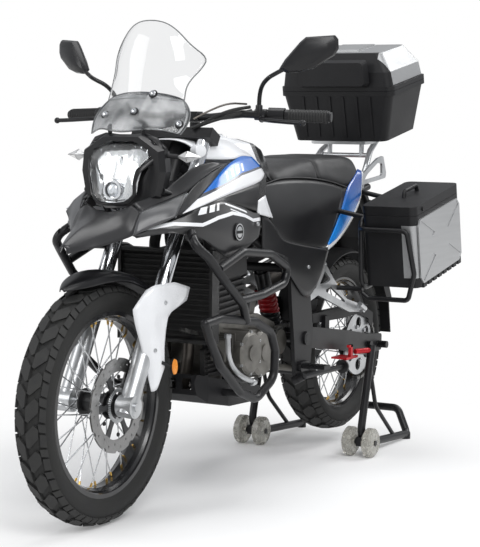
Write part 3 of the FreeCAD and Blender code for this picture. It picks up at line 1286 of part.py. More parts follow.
def build_rear_guard(tubes):
    half = TAIL_GUARD_HALF
    low = X_TAIL + 22
    flap = side_plate([(X_TAIL, 350), (X_TAIL + 6, 350), (low + 8, 476), (low, 476)], -72, 72)
    guard = side_plate([(low, 466), (-906, 700), (-764, 867.7), (-738, 867.7), (-898, 696), (low + 8, 462)],
                       -half, half)
    plan = top_plate([(-1060, -78), (-1060, 78), (-900, half - 4), (-730, half), (-730, -half), (-900, 4 - half)],
                     300, 900)
    guard = guard.common(plan)
    sides = []
    for side in (1, -1):
        sides.append(side_plate([(-1030, 476), (-900, 706), (-745, 866), (-700, 866), (-860, 690), (-985, 476)],
                                side * 82 - 2, side * 82 + 2))
    for side in (1, -1):
        sides.append(rod((-796, side * 70, 822), (-796, side * TAIL_GUARD_HALF, 822), 12))
    return fuse([guard, flap] + sides).cut(tubes)


def build_hugger(arms):
    """Short inner mudguard that rides on the swingarm over the rear tyre."""
    x = X_REAR_AXLE
    z = REAR_AXLE_HEIGHT
    face = Part.Face(outline([(x + r, y, z) for r, y in
                              ((312, -72), (322, -40), (324, 0), (322, 40), (312, 72), (308, 70), (318, 39),
                               (320, 0), (318, -39), (308, -70))]))
    face.rotate(vec(x, 0, z), vec(0, 1, 0), -18)
    shell = face.revolve(vec(x, 0, z), vec(0, 1, 0), -88)
    feet = []
    for side in (1, -1):
        foot = side_plate([(-300, BRACE_TOP_Z + SEAT_GAP), (-430, BRACE_TOP_Z + SEAT_GAP), (-450, 520),
                           (-405, 520), (-372, 466), (-300, 456)], side * 69 - 7, side * 69 + 7)
        feet.append(foot.cut(rod((x, -200, z), (x, 200, z), 309)))
    hugger = fuse([shell] + feet).cut(arms)
    return sorted(hugger.Solids, key=lambda solid: -solid.Volume)[0]


NOSE_HALF = 129.0


def build_lamps():
    tail = loft([[(-762.3, -55, 869), (-762.3, 55, 869), (-762.3, 55, 900), (-762.3, -55, 900)],
                 [(-796, -42, 873), (-796, 42, 873), (-796, 42, 894), (-796, -42, 894)]], 8)
    pieces = [tail]
    for side in (1, -1):
        stalk = rod((-796, side * (TAIL_GUARD_HALF + SEAT_GAP), 822), (-796, side * 150, 828), 6)
        body = Part.makeCone(9, 15, 40, vec(-796, side * 148, 830), vec(0, side, 0.1))
        nose = Part.makeCone(15, 9, 10, vec(-796, side * 187.8, 834), vec(0, side, 0.1))
        pieces.append(fuse([stalk, body, nose]))
        stalk = rod((592, side * (NOSE_HALF + SEAT_GAP), 1003), (590, side * 165, 1003), 6)
        body = Part.makeCone(9, 16, 40, vec(590, side * 160, 1003), vec(-0.1, side, 0))
        nose = Part.makeCone(16, 10, 12, vec(586, side * 199.8, 1003), vec(-0.1, side, 0))
        pieces.append(fuse([stalk, body, nose]))
    return pieces


# Paddock stand

STAND_SIDE_PATH = [(-600, 360), (-526, 76), (-566, 36), (STAND_REAR_X, 16)]
STAND_GUSSET = [(-584, 300), (-640, 150), (-800, 24)]


def build_stand(arms):
    pieces = []
    for side in (1, -1):
        y = side * STAND_HALF_WIDTH
        pieces.append(bent_rod([(x, y, z) for x, z in STAND_SIDE_PATH], STAND_TUBE_RADIUS, 60))
        pieces.append(rod((STAND_REAR_X + 10, y, 16), (STAND_REAR_X + 10, y, 0), 16))
        pieces.append(rod((ROLLER_X, y - 55, ROLLER_RADIUS), (ROLLER_X, y + 55, ROLLER_RADIUS), ROLLER_AXLE_RADIUS))
        pieces.append(box(ROLLER_X - 30, ROLLER_X + 12, y - 12, y + 12, 34, 64))
        pieces.append(bent_rod([(x, y, z) for x, z in STAND_GUSSET], 7, 90))
    pieces.append(bent_rod([(STAND_REAR_X + 40, -STAND_HALF_WIDTH, 17), (STAND_REAR_X, -STAND_HALF_WIDTH, 16),
                            (-928, -160, 100), (-928, 160, 100), (STAND_REAR_X, STAND_HALF_WIDTH, 16),
                            (STAND_REAR_X + 40, STAND_HALF_WIDTH, 17)], STAND_TUBE_RADIUS, 30))
    stand = fuse(pieces)
    save("paddock_stand", stand)
    hooks = []
    for side in (1, -1):
        plate = box(-540, -452, 118, 182, 325, 362)
        plate = plate.cut(box(-560, -440, 100, SWINGARM_OUTER_Y + 3, 318, 325))
        lip = box(-540, -452, 172, 182, 325, 372)
        arm = rod((-530, 180, 345), (-596, 204, 345), 9)
        hook = fuse([plate.cut(box(-560, -440, SWINGARM_OUTER_Y + 3, 172, 337, 380)), lip, arm])
        hook = hook if side > 0 else mirrored(hook)
        hooks.append(sorted(hook.cut([arms, stand]).Solids, key=lambda solid: -solid.Volume)[0])
    save("stand_hooks", hooks)
    for name, side in (("rollers_left", 1), ("rollers_right", -1)):
        wheels = []
        for shift in (-0.5, 0.5):
            y = side * STAND_HALF_WIDTH + shift * ROLLER_PITCH
            half = ROLLER_WIDTH / 2
            section = [(ROLLER_AXLE_RADIUS + PIN_GAP, -half), (ROLLER_RADIUS - 10, -half), (ROLLER_RADIUS, -half + 7),
                       (ROLLER_RADIUS, half - 7), (ROLLER_RADIUS - 10, half), (ROLLER_AXLE_RADIUS + PIN_GAP, half)]
            wheel = wheel_ring([(r, y + w) for r, w in section], ROLLER_X, ROLLER_RADIUS)
            wheels.append(wheel)
        save(name, wheels)


def main():
    os.makedirs("parts", exist_ok=True)
    build_front_wheel()
    build_rear_wheel()
    build_fork()
    bar = build_handlebar()
    build_mirrors(bar)
    build_front_mudguard()
    build_fork_guards()
    build_front_brake()
    frame = build_frame()
    arms = build_swingarm()
    build_chain_guard(arms)
    build_chain()
    case, cylinder = build_engine(frame)
    pipes = build_exhaust(case, cylinder, frame)
    build_radiator(frame)
    build_belly_pan(case, pipes)
    tank = build_tank(frame)
    shrouds = build_shrouds(tank)
    build_wings(tank, shrouds)
    beak = build_beak(shrouds)
    lamp = build_headlight()
    screen = build_screens()
    build_nose(lamp, frame, shrouds, beak, screen)
    build_seats(frame, tank)
    build_tail(frame)
    build_top_box()
    carrier = build_luggage_rack()
    build_panniers()
    hangers = build_pegs(frame)
    build_pannier_racks(carrier, hangers)
    build_crash_bars(frame, pan_block(), case, shrouds)
    build_shock(frame, arms)
    build_side_stand()
    guard = build_rear_guard(frame_tubes(SEAT_GAP)[4:])
    save("rear_mudguard", [guard, build_hugger(arms)])
    save("lamps", build_lamps())
    build_stand(arms)


main()
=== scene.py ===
import math

import bmesh
import bpy
from mathutils import Matrix, Vector


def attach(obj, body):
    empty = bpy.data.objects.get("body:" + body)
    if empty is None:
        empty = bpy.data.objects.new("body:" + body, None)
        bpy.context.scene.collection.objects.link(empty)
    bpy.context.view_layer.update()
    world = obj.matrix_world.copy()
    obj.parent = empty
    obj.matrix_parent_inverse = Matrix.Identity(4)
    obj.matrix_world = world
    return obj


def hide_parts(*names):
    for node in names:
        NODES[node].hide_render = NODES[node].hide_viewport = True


bl_info = {
    "name": "Adventure Motorcycle Dressing",
    "version": (1, 0, 0),
    "blender": (4, 5, 0),
    "location": "View3D > Sidebar > Motorcycle",
    "description": "Dresses an adventure motorcycle on its stand with tread, seats, screens and lamps",
    "category": "Object",
}

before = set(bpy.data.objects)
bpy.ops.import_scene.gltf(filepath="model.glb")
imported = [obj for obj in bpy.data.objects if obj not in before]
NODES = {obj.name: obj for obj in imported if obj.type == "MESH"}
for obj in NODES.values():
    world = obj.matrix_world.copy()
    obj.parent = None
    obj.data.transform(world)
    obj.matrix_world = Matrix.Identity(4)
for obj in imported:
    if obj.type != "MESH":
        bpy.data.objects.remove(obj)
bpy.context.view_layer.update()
SCALE = 0.001

# Places in millimetres: both axles and the drive shaft as (x, z) from the side, and the chain's own plane
FRONT_AXLE = (722.5, 330.0)
REAR_AXLE = (-712.5, 347.0)
DRIVE_SHAFT = (-130.0, 415.0)
CHAIN_Y = 99.0


def mm(*values):
    return Vector([value * SCALE for value in values])


def on_side(points, side):
    """Points given in millimetres for the left, placed on the left (1) or the right (-1)."""
    return [mm(x, y * side, z) for x, y, z in points]


# Finishes

FINISHES = {}


def feed(tree, source, socket):
    """Gives a socket its value, or a link when the source is another node's output."""
    if hasattr(source, "links"):
        tree.links.new(source, socket)
    elif socket.type == "RGBA":
        socket.default_value = (*source, 1.0)
    else:
        socket.default_value = source


def add_node(tree, kind, feeds, **settings):
    """Adds a shader node with its settings and feeds its sockets."""
    node = tree.nodes.new("ShaderNode" + kind)
    for name, value in settings.items():
        setattr(node, name, value)
    for socket, source in feeds.items():
        feed(tree, source, node.inputs[socket])
    return node


class Finish:
    """A material whose colour, gloss and bump come from patterns on Object coordinates."""

    def __init__(self, name, **constants):
        self.material = bpy.data.materials.new(name)
        self.material.use_nodes = True
        self.tree = self.material.node_tree
        self.shader = self.tree.nodes["Principled BSDF"]
        self.place = self.add("TexCoord", {}).outputs["Object"]
        self.parts = None
        for socket, value in constants.items():
            self.shader.inputs[socket.replace("_", " ")].default_value = value
        FINISHES[name] = self.material

    def add(self, kind, feeds, **settings):
        return add_node(self.tree, kind, feeds, **settings)

    def stretched(self, stretch):
        return self.add("Mapping", {"Vector": self.place, "Scale": stretch}).outputs["Vector"]

    def noise(self, scale, detail, stretch=(1, 1, 1)):
        feeds = {"Vector": self.stretched(stretch), "Scale": scale, "Detail": detail}
        return self.add("TexNoise", feeds).outputs[0]

    def cells(self, scale, stretch=(1, 1, 1)):
        feeds = {"Vector": self.stretched(stretch), "Scale": scale}
        return self.add("TexVoronoi", feeds).outputs["Distance"]

    def math(self, operation, a, b=0.0):
        return self.add("Math", {0: a, 1: b}, operation=operation).outputs[0]

    def above(self, value, level):
        return self.math("GREATER_THAN", value, level)

    def below(self, value, level):
        return self.math("LESS_THAN", value, level)

    def between(self, value, low, high):
        return self.both(self.above(value, low), self.below(value, high))

    def joined(self, operation, masks):
        whole = masks[0]
        for mask in masks[1:]:
            whole = self.math(operation, whole, mask)
        return whole

    def either(self, *masks):
        return self.joined("MAXIMUM", masks)

    def both(self, *masks):
        return self.joined("MULTIPLY", masks)

    def remap(self, value, low, high, new_low, new_high):
        feeds = {"Value": value, "From Min": low, "From Max": high, "To Min": new_low, "To Max": new_high}
        return self.add("MapRange", feeds).outputs["Result"]

    def mixed(self, amount, a, b):
        return self.add("Mix", {0: amount, 6: a, 7: b}, data_type="RGBA").outputs[2]

    def axis(self, name):
        if self.parts is None:
            self.parts = self.add("SeparateXYZ", {0: self.place}).outputs
        return self.parts[name]

    def leaning(self, x_share, z_share, origin=(0.0, 0.0)):
        """Distance along a sloping direction in the side view, in metres from an origin in millimetres."""
        shares = []
        for name, share, start in (("X", x_share, origin[0]), ("Z", z_share, origin[1])):
            place = self.math("ADD", self.axis(name), -start * SCALE)
            shares.append(self.math("MULTIPLY", place, share))
        return self.math("ADD", *shares)

    def from_axle(self, axle):
        """Distance from a wheel's axle line, in metres."""
        squares = []
        for name, start in zip("XZ", axle):
            away = self.math("SUBTRACT", self.axis(name), start * SCALE)
            squares.append(self.math("MULTIPLY", away, away))
        return self.math("SQRT", self.math("ADD", *squares))

    def height_over(self, points):
        """How far the surface stands above a line of (x, z) points in millimetres, in metres."""
        node = self.add("ValToRGB", {})
        ramp = node.color_ramp
        first, last = points[0][0], points[-1][0]
        for i, (x, z) in enumerate(points):
            spot = (x - first) / (last - first)
            stop = ramp.elements[i] if i < 2 else ramp.elements.new(spot)
            stop.position = spot
            stop.color = (*[z * SCALE / 2] * 3, 1)
        self.feed(self.remap(self.axis("X"), first * SCALE, last * SCALE, 0, 1), node.inputs["Fac"])
        line = self.math("MULTIPLY", node.outputs["Color"], 2.0)
        return self.math("SUBTRACT", self.axis("Z"), line)

    def feed(self, source, socket):
        feed(self.tree, source, socket)

    def colour(self, source):
        self.feed(source, self.shader.inputs["Base Color"])

    def rough(self, source):
        self.feed(source, self.shader.inputs["Roughness"])

    def metal(self, mask, without, within):
        """Sets how metallic the surface is outside and inside a mask."""
        self.feed(self.remap(mask, 0, 1, without, within), self.shader.inputs["Metallic"])

    def bump(self, height, strength, distance):
        node = self.add("Bump", {"Height": height, "Strength": strength, "Distance": distance})
        self.feed(node.outputs["Normal"], self.shader.inputs["Normal"])


def mottled(name, shades, rough, grain=900, lift=0.2, depth=0.0002, patch=9, stretch=(1, 1, 1), **more):
    """Two close shades in soft patches, with a fine grain in gloss and bump."""
    finish = Finish(name, **more)
    tone = finish.noise(patch, 4.0, stretch)
    fine = finish.noise(grain, 2.0, stretch)
    finish.tone = finish.mixed(finish.remap(tone, 0.35, 0.65, 0, 1), *shades)
    finish.colour(finish.tone)
    finish.rough(finish.remap(finish.math("ADD", tone, fine), 0.7, 1.3, *rough))
    finish.bump(fine, lift, depth)
    return finish


BLACK = ((0.006, 0.006, 0.007), (0.010, 0.010, 0.011))
BOX_BLACK = ((0.007, 0.007, 0.008), (0.011, 0.011, 0.012))
BOX_MOULD = dict(grain=1400, lift=0.35, depth=0.00025, Specular_IOR_Level=0.3)
SATIN_COAT = dict(grain=1500, lift=0.08, patch=5, Coat_Weight=0.15, Coat_Roughness=0.25)
GLOSS_COAT = dict(grain=500, lift=0.05, Coat_Weight=0.4, Coat_Roughness=0.1)
LEAN_MARKS = 0.55
DISC_RINGS = 5200.0
# Sine and cosine of the angle at which the boxes lean back
BOX_SINE, BOX_COSINE = 0.1908, 0.9816

# Two shades, the range of roughness, and what differs from the usual grain
PLAIN_FINISHES = {
    "black_plastic": (BLACK, (0.42, 0.56), BOX_MOULD),
    "satin_plastic": (BLACK, (0.28, 0.38), dict(grain=700, lift=0.12, Specular_IOR_Level=0.35)),
    "black_metal": (BLACK, (0.30, 0.42), dict(grain=1100, patch=14, Specular_IOR_Level=0.35)),
    "frame_grey": (((0.012, 0.012, 0.013), (0.018, 0.018, 0.019)), (0.38, 0.5),
                   dict(grain=1200, lift=0.25, patch=12, Specular_IOR_Level=0.3)),
    "engine_grey": (((0.13, 0.124, 0.112), (0.22, 0.212, 0.195)), (0.38, 0.55),
                    dict(grain=650, lift=0.5, depth=0.0004, patch=22, Metallic=0.65)),
    "engine_black": (((0.012, 0.012, 0.013), (0.024, 0.023, 0.023)), (0.42, 0.58),
                     dict(grain=700, lift=0.45, depth=0.0004, patch=20)),
    "cheek_paint": (((0.050, 0.051, 0.054), (0.062, 0.063, 0.067)), (0.32, 0.40), SATIN_COAT),
    "screen_rim": (((0.10, 0.105, 0.11), (0.16, 0.165, 0.17)), (0.3, 0.4), dict(grain=800)),
    "silver": (((0.46, 0.47, 0.48), (0.60, 0.61, 0.62)), (0.28, 0.4),
               dict(grain=800, patch=16, Metallic=0.85)),
    "chrome": (((0.62, 0.63, 0.65), (0.72, 0.73, 0.75)), (0.06, 0.13),
               dict(grain=300, lift=0.02, patch=8, Metallic=1.0)),
    "steel_pipe": (((0.055, 0.05, 0.047), (0.13, 0.115, 0.1)), (0.3, 0.5),
                   dict(grain=420, patch=10, Metallic=0.8)),
    "white_paint": (((0.72, 0.73, 0.75), (0.79, 0.80, 0.82)), (0.22, 0.3), dict(GLOSS_COAT, patch=7)),
    "grip_rubber": (((0.008, 0.008, 0.008), (0.013, 0.013, 0.013)), (0.6, 0.75), dict(grain=1600, lift=0.3)),
    "red": (((0.42, 0.006, 0.012), (0.58, 0.012, 0.02)), (0.24, 0.36),
            dict(grain=500, lift=0.1, patch=18, Metallic=0.35)),
    "box_silver": (((0.43, 0.435, 0.44), (0.47, 0.475, 0.48)), (0.30, 0.42),
                   dict(grain=260, lift=0.12, patch=5, stretch=(1, 1, 18), Metallic=0.8)),
    "chain_steel": (((0.10, 0.10, 0.098), (0.2, 0.198, 0.19)), (0.28, 0.42),
                    dict(grain=500, lift=0.1, patch=50, Metallic=0.85)),
    "mirror_glass": (((0.80, 0.81, 0.83), (0.84, 0.85, 0.87)), (0.02, 0.05),
                     dict(grain=20, lift=0.01, Metallic=1.0)),
    "lamp_amber": (((0.78, 0.26, 0.03), (0.90, 0.34, 0.05)), (0.15, 0.25),
                   dict(grain=300, lift=0.3, depth=0.0005)),
    "lamp_red": (((0.45, 0.01, 0.01), (0.6, 0.02, 0.02)), (0.12, 0.2),
                 dict(grain=260, lift=0.3, depth=0.0005)),
    "lamp_pale": (((0.50, 0.50, 0.50), (0.72, 0.72, 0.72)), (0.12, 0.22),
                  dict(grain=240, lift=0.5, depth=0.0008, Metallic=0.5)),
    "bulb": (((0.55, 0.57, 0.6), (0.75, 0.77, 0.8)), (0.04, 0.09),
             dict(grain=60, lift=0.05, Metallic=0.6, Coat_Weight=1.0, Coat_Roughness=0.03)),
    "tyre_rubber": (((0.007, 0.007, 0.007), (0.013, 0.013, 0.012)), (0.66, 0.85),
                    dict(lift=0.35, depth=0.0003, patch=26)),
    "tread_rubber": (((0.011, 0.011, 0.011), (0.020, 0.020, 0.019)), (0.62, 0.8),
                     dict(grain=1300, lift=0.4, depth=0.0003, patch=40)),
    "rim_black": (((0.009, 0.009, 0.010), (0.013, 0.013, 0.014)), (0.16, 0.24),
                  dict(grain=500, lift=0.05, Coat_Weight=0.3, Coat_Roughness=0.12)),
}


def box_finish(name, origin, silver, shape):
    """Black moulding of a tilted box, bright where a mask over (up, ahead, wide) says so."""
    box = mottled(name, BOX_BLACK, (0.42, 0.56), **BOX_MOULD)
    up = box.leaning(BOX_SINE, BOX_COSINE, origin)
    ahead = box.leaning(BOX_COSINE, -BOX_SINE, origin)
    bright = shape(box, up, ahead, box.math("ABSOLUTE", box.axis("Y")))
    box.colour(box.mixed(bright, box.tone, silver))
    box.metal(bright, 0.0, 0.8)


def lid_silver(box, up, ahead, wide):
    """The flanks and the roof of the top box's lid."""
    flank = box.both(box.above(wide, 0.152), box.below(ahead, -0.026), box.above(up, 0.190))
    return box.either(flank, box.both(box.above(up, 0.290), box.below(ahead, -0.050)))


def corner_silver(box, up, ahead, wide):
    """The outer front corner of a side box."""
    return box.both(box.above(wide, 0.385), box.above(ahead, -0.014), box.between(up, -0.200, -0.030))


def shock_finish():
    """A black damper with a red spring."""
    shock = mottled("shock_paint", ((0.007, 0.007, 0.008), (0.012, 0.012, 0.013)), (0.3, 0.42), grain=700)
    spring = shock.between(shock.axis("Z"), 0.490, 0.560)
    shock.colour(shock.mixed(spring, shock.tone, (0.30, 0.006, 0.010)))


def seat_finish():
    """Black vinyl with fine pores."""
    vinyl = Finish("seat_vinyl")
    pores = vinyl.cells(900.0)
    tone = vinyl.noise(12.0, 4.0)
    vinyl.colour(vinyl.mixed(tone, (0.010, 0.010, 0.011), (0.019, 0.019, 0.020)))
    vinyl.rough(vinyl.remap(vinyl.math("ADD", tone, pores), 0.4, 1.2, 0.40, 0.58))
    vinyl.bump(pores, 0.35, 0.0003)


def spoke_finish(name, axle, nipple_radius, hub_radius):
    """Bright spokes with brass nipples at the rim and a dark hub, radii in metres."""
    shades = ((0.52, 0.53, 0.54), (0.66, 0.67, 0.68))
    spokes = mottled(name, shades, (0.16, 0.28), grain=300, lift=0.05, Metallic=0.9)
    far = spokes.from_axle(axle)
    hub = spokes.below(far, hub_radius)
    brass = spokes.mixed(spokes.above(far, nipple_radius), spokes.tone, (0.56, 0.36, 0.10))
    spokes.colour(spokes.mixed(hub, brass, (0.013, 0.013, 0.014)))
    spokes.rough(spokes.remap(hub, 0, 1, 0.2, 0.45))
    spokes.metal(hub, 0.9, 0.2)


def disc_finish():
    """A brake disc with the rings that its pads leave, on a black carrier."""
    shades = ((0.20, 0.20, 0.198), (0.30, 0.298, 0.295))
    disc = mottled("front_disc", shades, (0.25, 0.4), grain=400, lift=0.1, Metallic=0.9)
    far = disc.from_axle(FRONT_AXLE)
    rings = disc.math("SINE", disc.math("MULTIPLY", far, DISC_RINGS))
    disc.rough(disc.remap(rings, -1, 1, 0.22, 0.40))
    disc.bump(rings, 0.15, 0.0001)
    carrier = disc.below(far, 0.090)
    disc.colour(disc.mixed(carrier, disc.tone, (0.012, 0.012, 0.013)))
    disc.metal(carrier, 0.9, 0.1)


def glass_finish(name, drift, shades, haze, rough, **more):
    """A see-through finish whose tint and haze drift a little: noise, two shades, its range and roughness."""
    glass = Finish(name, **more)
    tone = glass.noise(*drift)
    tint = glass.remap(tone, *haze, 0, 1) if haze else tone
    glass.colour(glass.mixed(tint, *shades))
    glass.rough(glass.remap(tone, 0.3, 0.7, *rough))
    return glass, tone


def glass_finishes():
    glass_finish("clear_screen", (5.0, 2.0), ((0.85, 0.855, 0.86), (0.90, 0.905, 0.91)), None, (0.01, 0.04),
                 Transmission_Weight=1.0, IOR=1.3)
    glass_finish("lamp_lens", (30.0, 2.0), ((0.95, 0.97, 0.98), (1.0, 1.0, 1.0)), None, (0.0, 0.03),
                 Transmission_Weight=1.0, IOR=1.35)
    glass_finish("smoked_screen", (9.0, 4.0, (1, 1.6, 0.6)), ((0.30, 0.31, 0.32), (0.62, 0.63, 0.64)),
                 (0.35, 0.65), (0.08, 0.2), Transmission_Weight=0.9, IOR=1.4)
    roller, swirl = glass_finish("clear_roller", (60.0, 4.0), ((0.36, 0.35, 0.31), (0.74, 0.73, 0.68)), None,
                                 (0.15, 0.4), Transmission_Weight=0.55, IOR=1.45)
    roller.bump(swirl, 0.3, 0.001)


def reflector_finish():
    """The faceted bowl behind the lamp's lens."""
    shades = ((0.42, 0.43, 0.44), (0.74, 0.75, 0.76))
    bowl = mottled("reflector", shades, (0.08, 0.2), grain=200, lift=0.0, Metallic=0.9)
    bowl.bump(bowl.cells(48.0, (0.2, 1.0, 0.55)), 0.5, 0.004)


def radiator_finish():
    core = mottled("radiator_core", ((0.010, 0.010, 0.010), (0.020, 0.020, 0.020)), (0.4, 0.55), patch=60)
    fins = core.add("TexWave", {"Vector": core.place, "Scale": 160.0}, bands_direction="Z")
    core.bump(fins.outputs["Fac"], 0.8, 0.002)


def shroud_finish(body, white):
    """Graphite side shroud with a white line, two thin slashes and three leaning bars."""
    paint = mottled("shroud_paint", (body, tuple(c * 1.25 for c in body)), (0.30, 0.38), **SATIN_COAT)
    x = paint.axis("X")
    lines = [(262, 812), (326, 828), (402, 838), (477, 828), (544, 811), (607, 815), (668, 803), (745, 776)]
    marks = [paint.between(paint.height_over(lines), -0.0048, 0.0048)]
    for start, end, half, low, high in ((828, 872, 0.0028, 0.300, 0.425), (815, 862, 0.0016, 0.320, 0.405)):
        slash = paint.between(paint.height_over([(262, start), (460, end)]), -half, half)
        marks.append(paint.both(slash, paint.between(x, low, high)))
    lean = paint.leaning(1.0, LEAN_MARKS)
    bars = [paint.between(lean, low, high) for low, high in ((0.930, 0.941), (0.950, 0.972), (0.983, 1.010))]
    row = paint.between(paint.height_over([(430, 852), (620, 828)]), 0.0, 0.018)
    marks.append(paint.both(paint.either(*bars), row))
    paint.colour(paint.mixed(paint.either(*marks), paint.tone, white))


def white_finish(name, white, shade, rough):
    return mottled(name, (white, tuple(c * shade for c in white)), rough, **GLOSS_COAT)


def wing_finish(white, blue):
    """White tank side with a blue field over a dark line, and plain leaning marks."""
    wing = white_finish("wing_paint", white, 0.94, (0.2, 0.28))
    over_blue = wing.height_over([(60, 962), (140, 954), (270, 939), (455, 896), (520, 878)])
    lean = wing.leaning(1.0, LEAN_MARKS)
    marks = [wing.between(lean, low, high)
             for low, high in ((0.770, 0.782), (0.798, 0.818), (0.834, 0.846), (0.866, 0.874))]
    paint = wing.mixed(wing.above(over_blue, 0.0), wing.tone, blue)
    paint = wing.mixed(wing.between(over_blue, 0.0, 0.006), paint, (0.05, 0.055, 0.07))
    pale = wing.both(wing.either(*marks), wing.between(over_blue, 0.010, 0.030))
    wing.colour(wing.mixed(pale, paint, white))


def tank_finish(white):
    """White tank, black below its side panels and at the rear."""
    tank = white_finish("tank_paint", white, 0.95, (0.2, 0.28))
    low = tank.below(tank.height_over([(-80, 960), (60, 945), (139, 930), (317, 914)]), 0.0)
    rear = tank.below(tank.axis("X"), 0.085)
    tank.colour(tank.mixed(tank.either(low, rear), tank.tone, (0.010, 0.010, 0.011)))


def tail_finish(white):
    """White tail side with a blue field that darkens upward and one thin white flash."""
    tail = white_finish("tail_paint", white, 0.95, (0.22, 0.3))
    edge = [(-669, 931), (-646, 872), (-631, 838), (-559, 782), (-491, 740), (-421, 708), (-361, 689)]
    blue_part = tail.above(tail.height_over(edge), 0.016)
    flash = tail.both(blue_part, tail.between(tail.leaning(0.80, 0.60), 0.150, 0.160))
    shade = tail.mixed(tail.remap(tail.axis("Z"), 0.74, 0.90, 0, 1), (0.02, 0.24, 0.72), (0.006, 0.06, 0.30))
    tail.colour(tail.mixed(flash, tail.mixed(blue_part, tail.tone, shade), white))


def make_finishes(colours):
    body, white, blue = tuple(colours.graphite), tuple(colours.white), tuple(colours.blue)
    for name, (shades, rough, more) in PLAIN_FINISHES.items():
        mottled(name, shades, rough, **more)
    graphite = (body, (0.022, 0.022, 0.024))
    mottled("graphite_paint", graphite, (0.30, 0.38), **SATIN_COAT, Specular_IOR_Level=0.35)
    box_finish("lid_paint", (-742, 1031), (0.34, 0.345, 0.35), lid_silver)
    box_finish("pannier_paint", (-400, 802), (0.42, 0.425, 0.43), corner_silver)
    shock_finish()
    seat_finish()
    spoke_finish("front_spokes", FRONT_AXLE, 0.213, 0.040)
    spoke_finish("rear_spokes", REAR_AXLE, 0.188, 0.054)
    disc_finish()
    glass_finishes()
    reflector_finish()
    radiator_finish()
    shroud_finish(body, white)
    wing_finish(white, blue)
    tank_finish(white)
    tail_finish(white)


# Shapes

def new_piece(name, bm, material, sharp=40.0, body="chassis", replaces=(), outward=True):
    """Writes a bmesh to an object that rides on a body, smooth where its faces meet at a low angle."""
    bmesh.ops.remove_doubles(bm, verts=bm.verts, dist=1e-6)
    if outward:
        bmesh.ops.recalc_face_normals(bm, faces=bm.faces)
    limit = math.radians(sharp)
    for face in bm.faces:
        face.smooth = True
    for edge in bm.edges:
        edge.smooth = edge.calc_face_angle(0.0) < limit
    mesh = bpy.data.meshes.new(name)
    bm.to_mesh(mesh)
    bm.free()
    piece = bpy.data.objects.new(name, mesh)
    bpy.context.scene.collection.objects.link(piece)
    mesh.materials.append(FINISHES[material])
    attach(piece, body)
    if replaces:
        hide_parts(*replaces)
    return piece


def dress(material, *nodes):
    for node in nodes:
        mesh = NODES[node].data
        mesh.materials.clear()
        mesh.materials.append(FINISHES[material])


def turned(direction, at):
    """Places a shape made along +Z so that it points along a direction from a point."""
    turn = Vector(direction).to_track_quat("Z", "Y").to_matrix().to_4x4()
    return Matrix.Translation(at) @ turn


def rounded(bm, edges, width, segments=2):
    bmesh.ops.bevel(bm, geom=edges, offset=width, offset_type="OFFSET", segments=segments, profile=0.5,
                    affect="EDGES", clamp_overlap=True, material=-1)


def crown_of(faces, sides, out):
    """The face with a number of sides that lies furthest along a direction."""
    return max((f for f in faces if len(f.verts) == sides), key=lambda f: f.calc_center_median().dot(out))


def sunk(bm, face, margin, push):
    """Sinks the middle of a face and leaves a margin round it."""
    bmesh.ops.inset_individual(bm, faces=[face], thickness=margin, depth=0.0)
    pushed = bmesh.ops.extrude_discrete_faces(bm, faces=[face])["faces"]
    bmesh.ops.translate(bm, verts=pushed[0].verts, vec=push)


def add_cone(bm, place, low, high, height, segments, lift=0.0):
    """A cone or cylinder with its middle on a place, or lifted along it."""
    made = bmesh.ops.create_cone(bm, cap_ends=True, segments=segments, radius1=low, radius2=high,
                                 depth=height, matrix=place @ Matrix.Translation((0, 0, lift)))
    return {face for vert in made["verts"] for face in vert.link_faces}


def add_disc(bm, at, direction, radius, height, segments=20, bevel=0.15, hollow=0.0):
    """A bevelled disc that stands on a point, or a cup where it is hollow."""
    faces = add_cone(bm, turned(direction, at), radius, radius, height, segments, height / 2)
    out = Vector(direction).normalized()
    rounded(bm, list(crown_of(faces, segments, out).edges), height * bevel)
    if hollow > 0:
        near = [f for f in bm.faces if (f.calc_center_median() - at).length < height * 1.6]
        sunk(bm, crown_of(near, segments, out), radius * (1 - hollow) * 0.8, -out * height * 0.6)


def add_box(bm, at, size, turn=Matrix.Identity(4)):
    bmesh.ops.create_cube(bm, size=1.0, matrix=Matrix.Translation(at) @ turn @ Matrix.Diagonal((*size, 1)))


def bolts(name, places, material="silver", radius=0.005, height=0.004, body="chassis"):
    """Socket-head bolts: a six-sided look from a sunk middle in a bevelled round head."""
    bm = bmesh.new()
    for at, direction in places:
        out = Vector(direction).normalized()
        faces = add_cone(bm, turned(direction, at), radius, radius * 0.86, height, 12, height / 2)
        sunk(bm, crown_of(faces, 12, out), radius * 0.4, -out * height * 0.55)
    return new_piece(name, bm, material, 30.0, body)


def bolt_circle(x, y, z, radius, count, first=0.0, side=1):
    """Places of bolts on a circle seen from the side, first at an angle in degrees, facing out."""
    turns = [math.radians(first + 360.0 * i / count) for i in range(count)]
    return [(mm(x + radius * math.cos(a), y, z + radius * math.sin(a)), (0, side, 0)) for a in turns]


def mirrored_places(places):
    return [(mm(x, y * side, z), (a, b * side, c)) for side in (1, -1) for (x, y, z), (a, b, c) in places]


def slab(bm, corners, depth, direction):
    """A flat plate from a few corners, thickened along a direction."""
    verts = [bm.verts.new(corner) for corner in corners]
    moved = bmesh.ops.extrude_face_region(bm, geom=[bm.faces.new(verts)], use_keep_orig=True)["geom"]
    grown = [item for item in moved if isinstance(item, bmesh.types.BMVert)]
    bmesh.ops.translate(bm, verts=grown, vec=Vector(direction) * depth)
    return grown


def bridged(bm, a, b):
    """Joins two rings of vertices."""
    for i in range(len(a)):
        k = (i + 1) % len(a)
        bm.faces.new((a[i], a[k], b[k], b[i]))


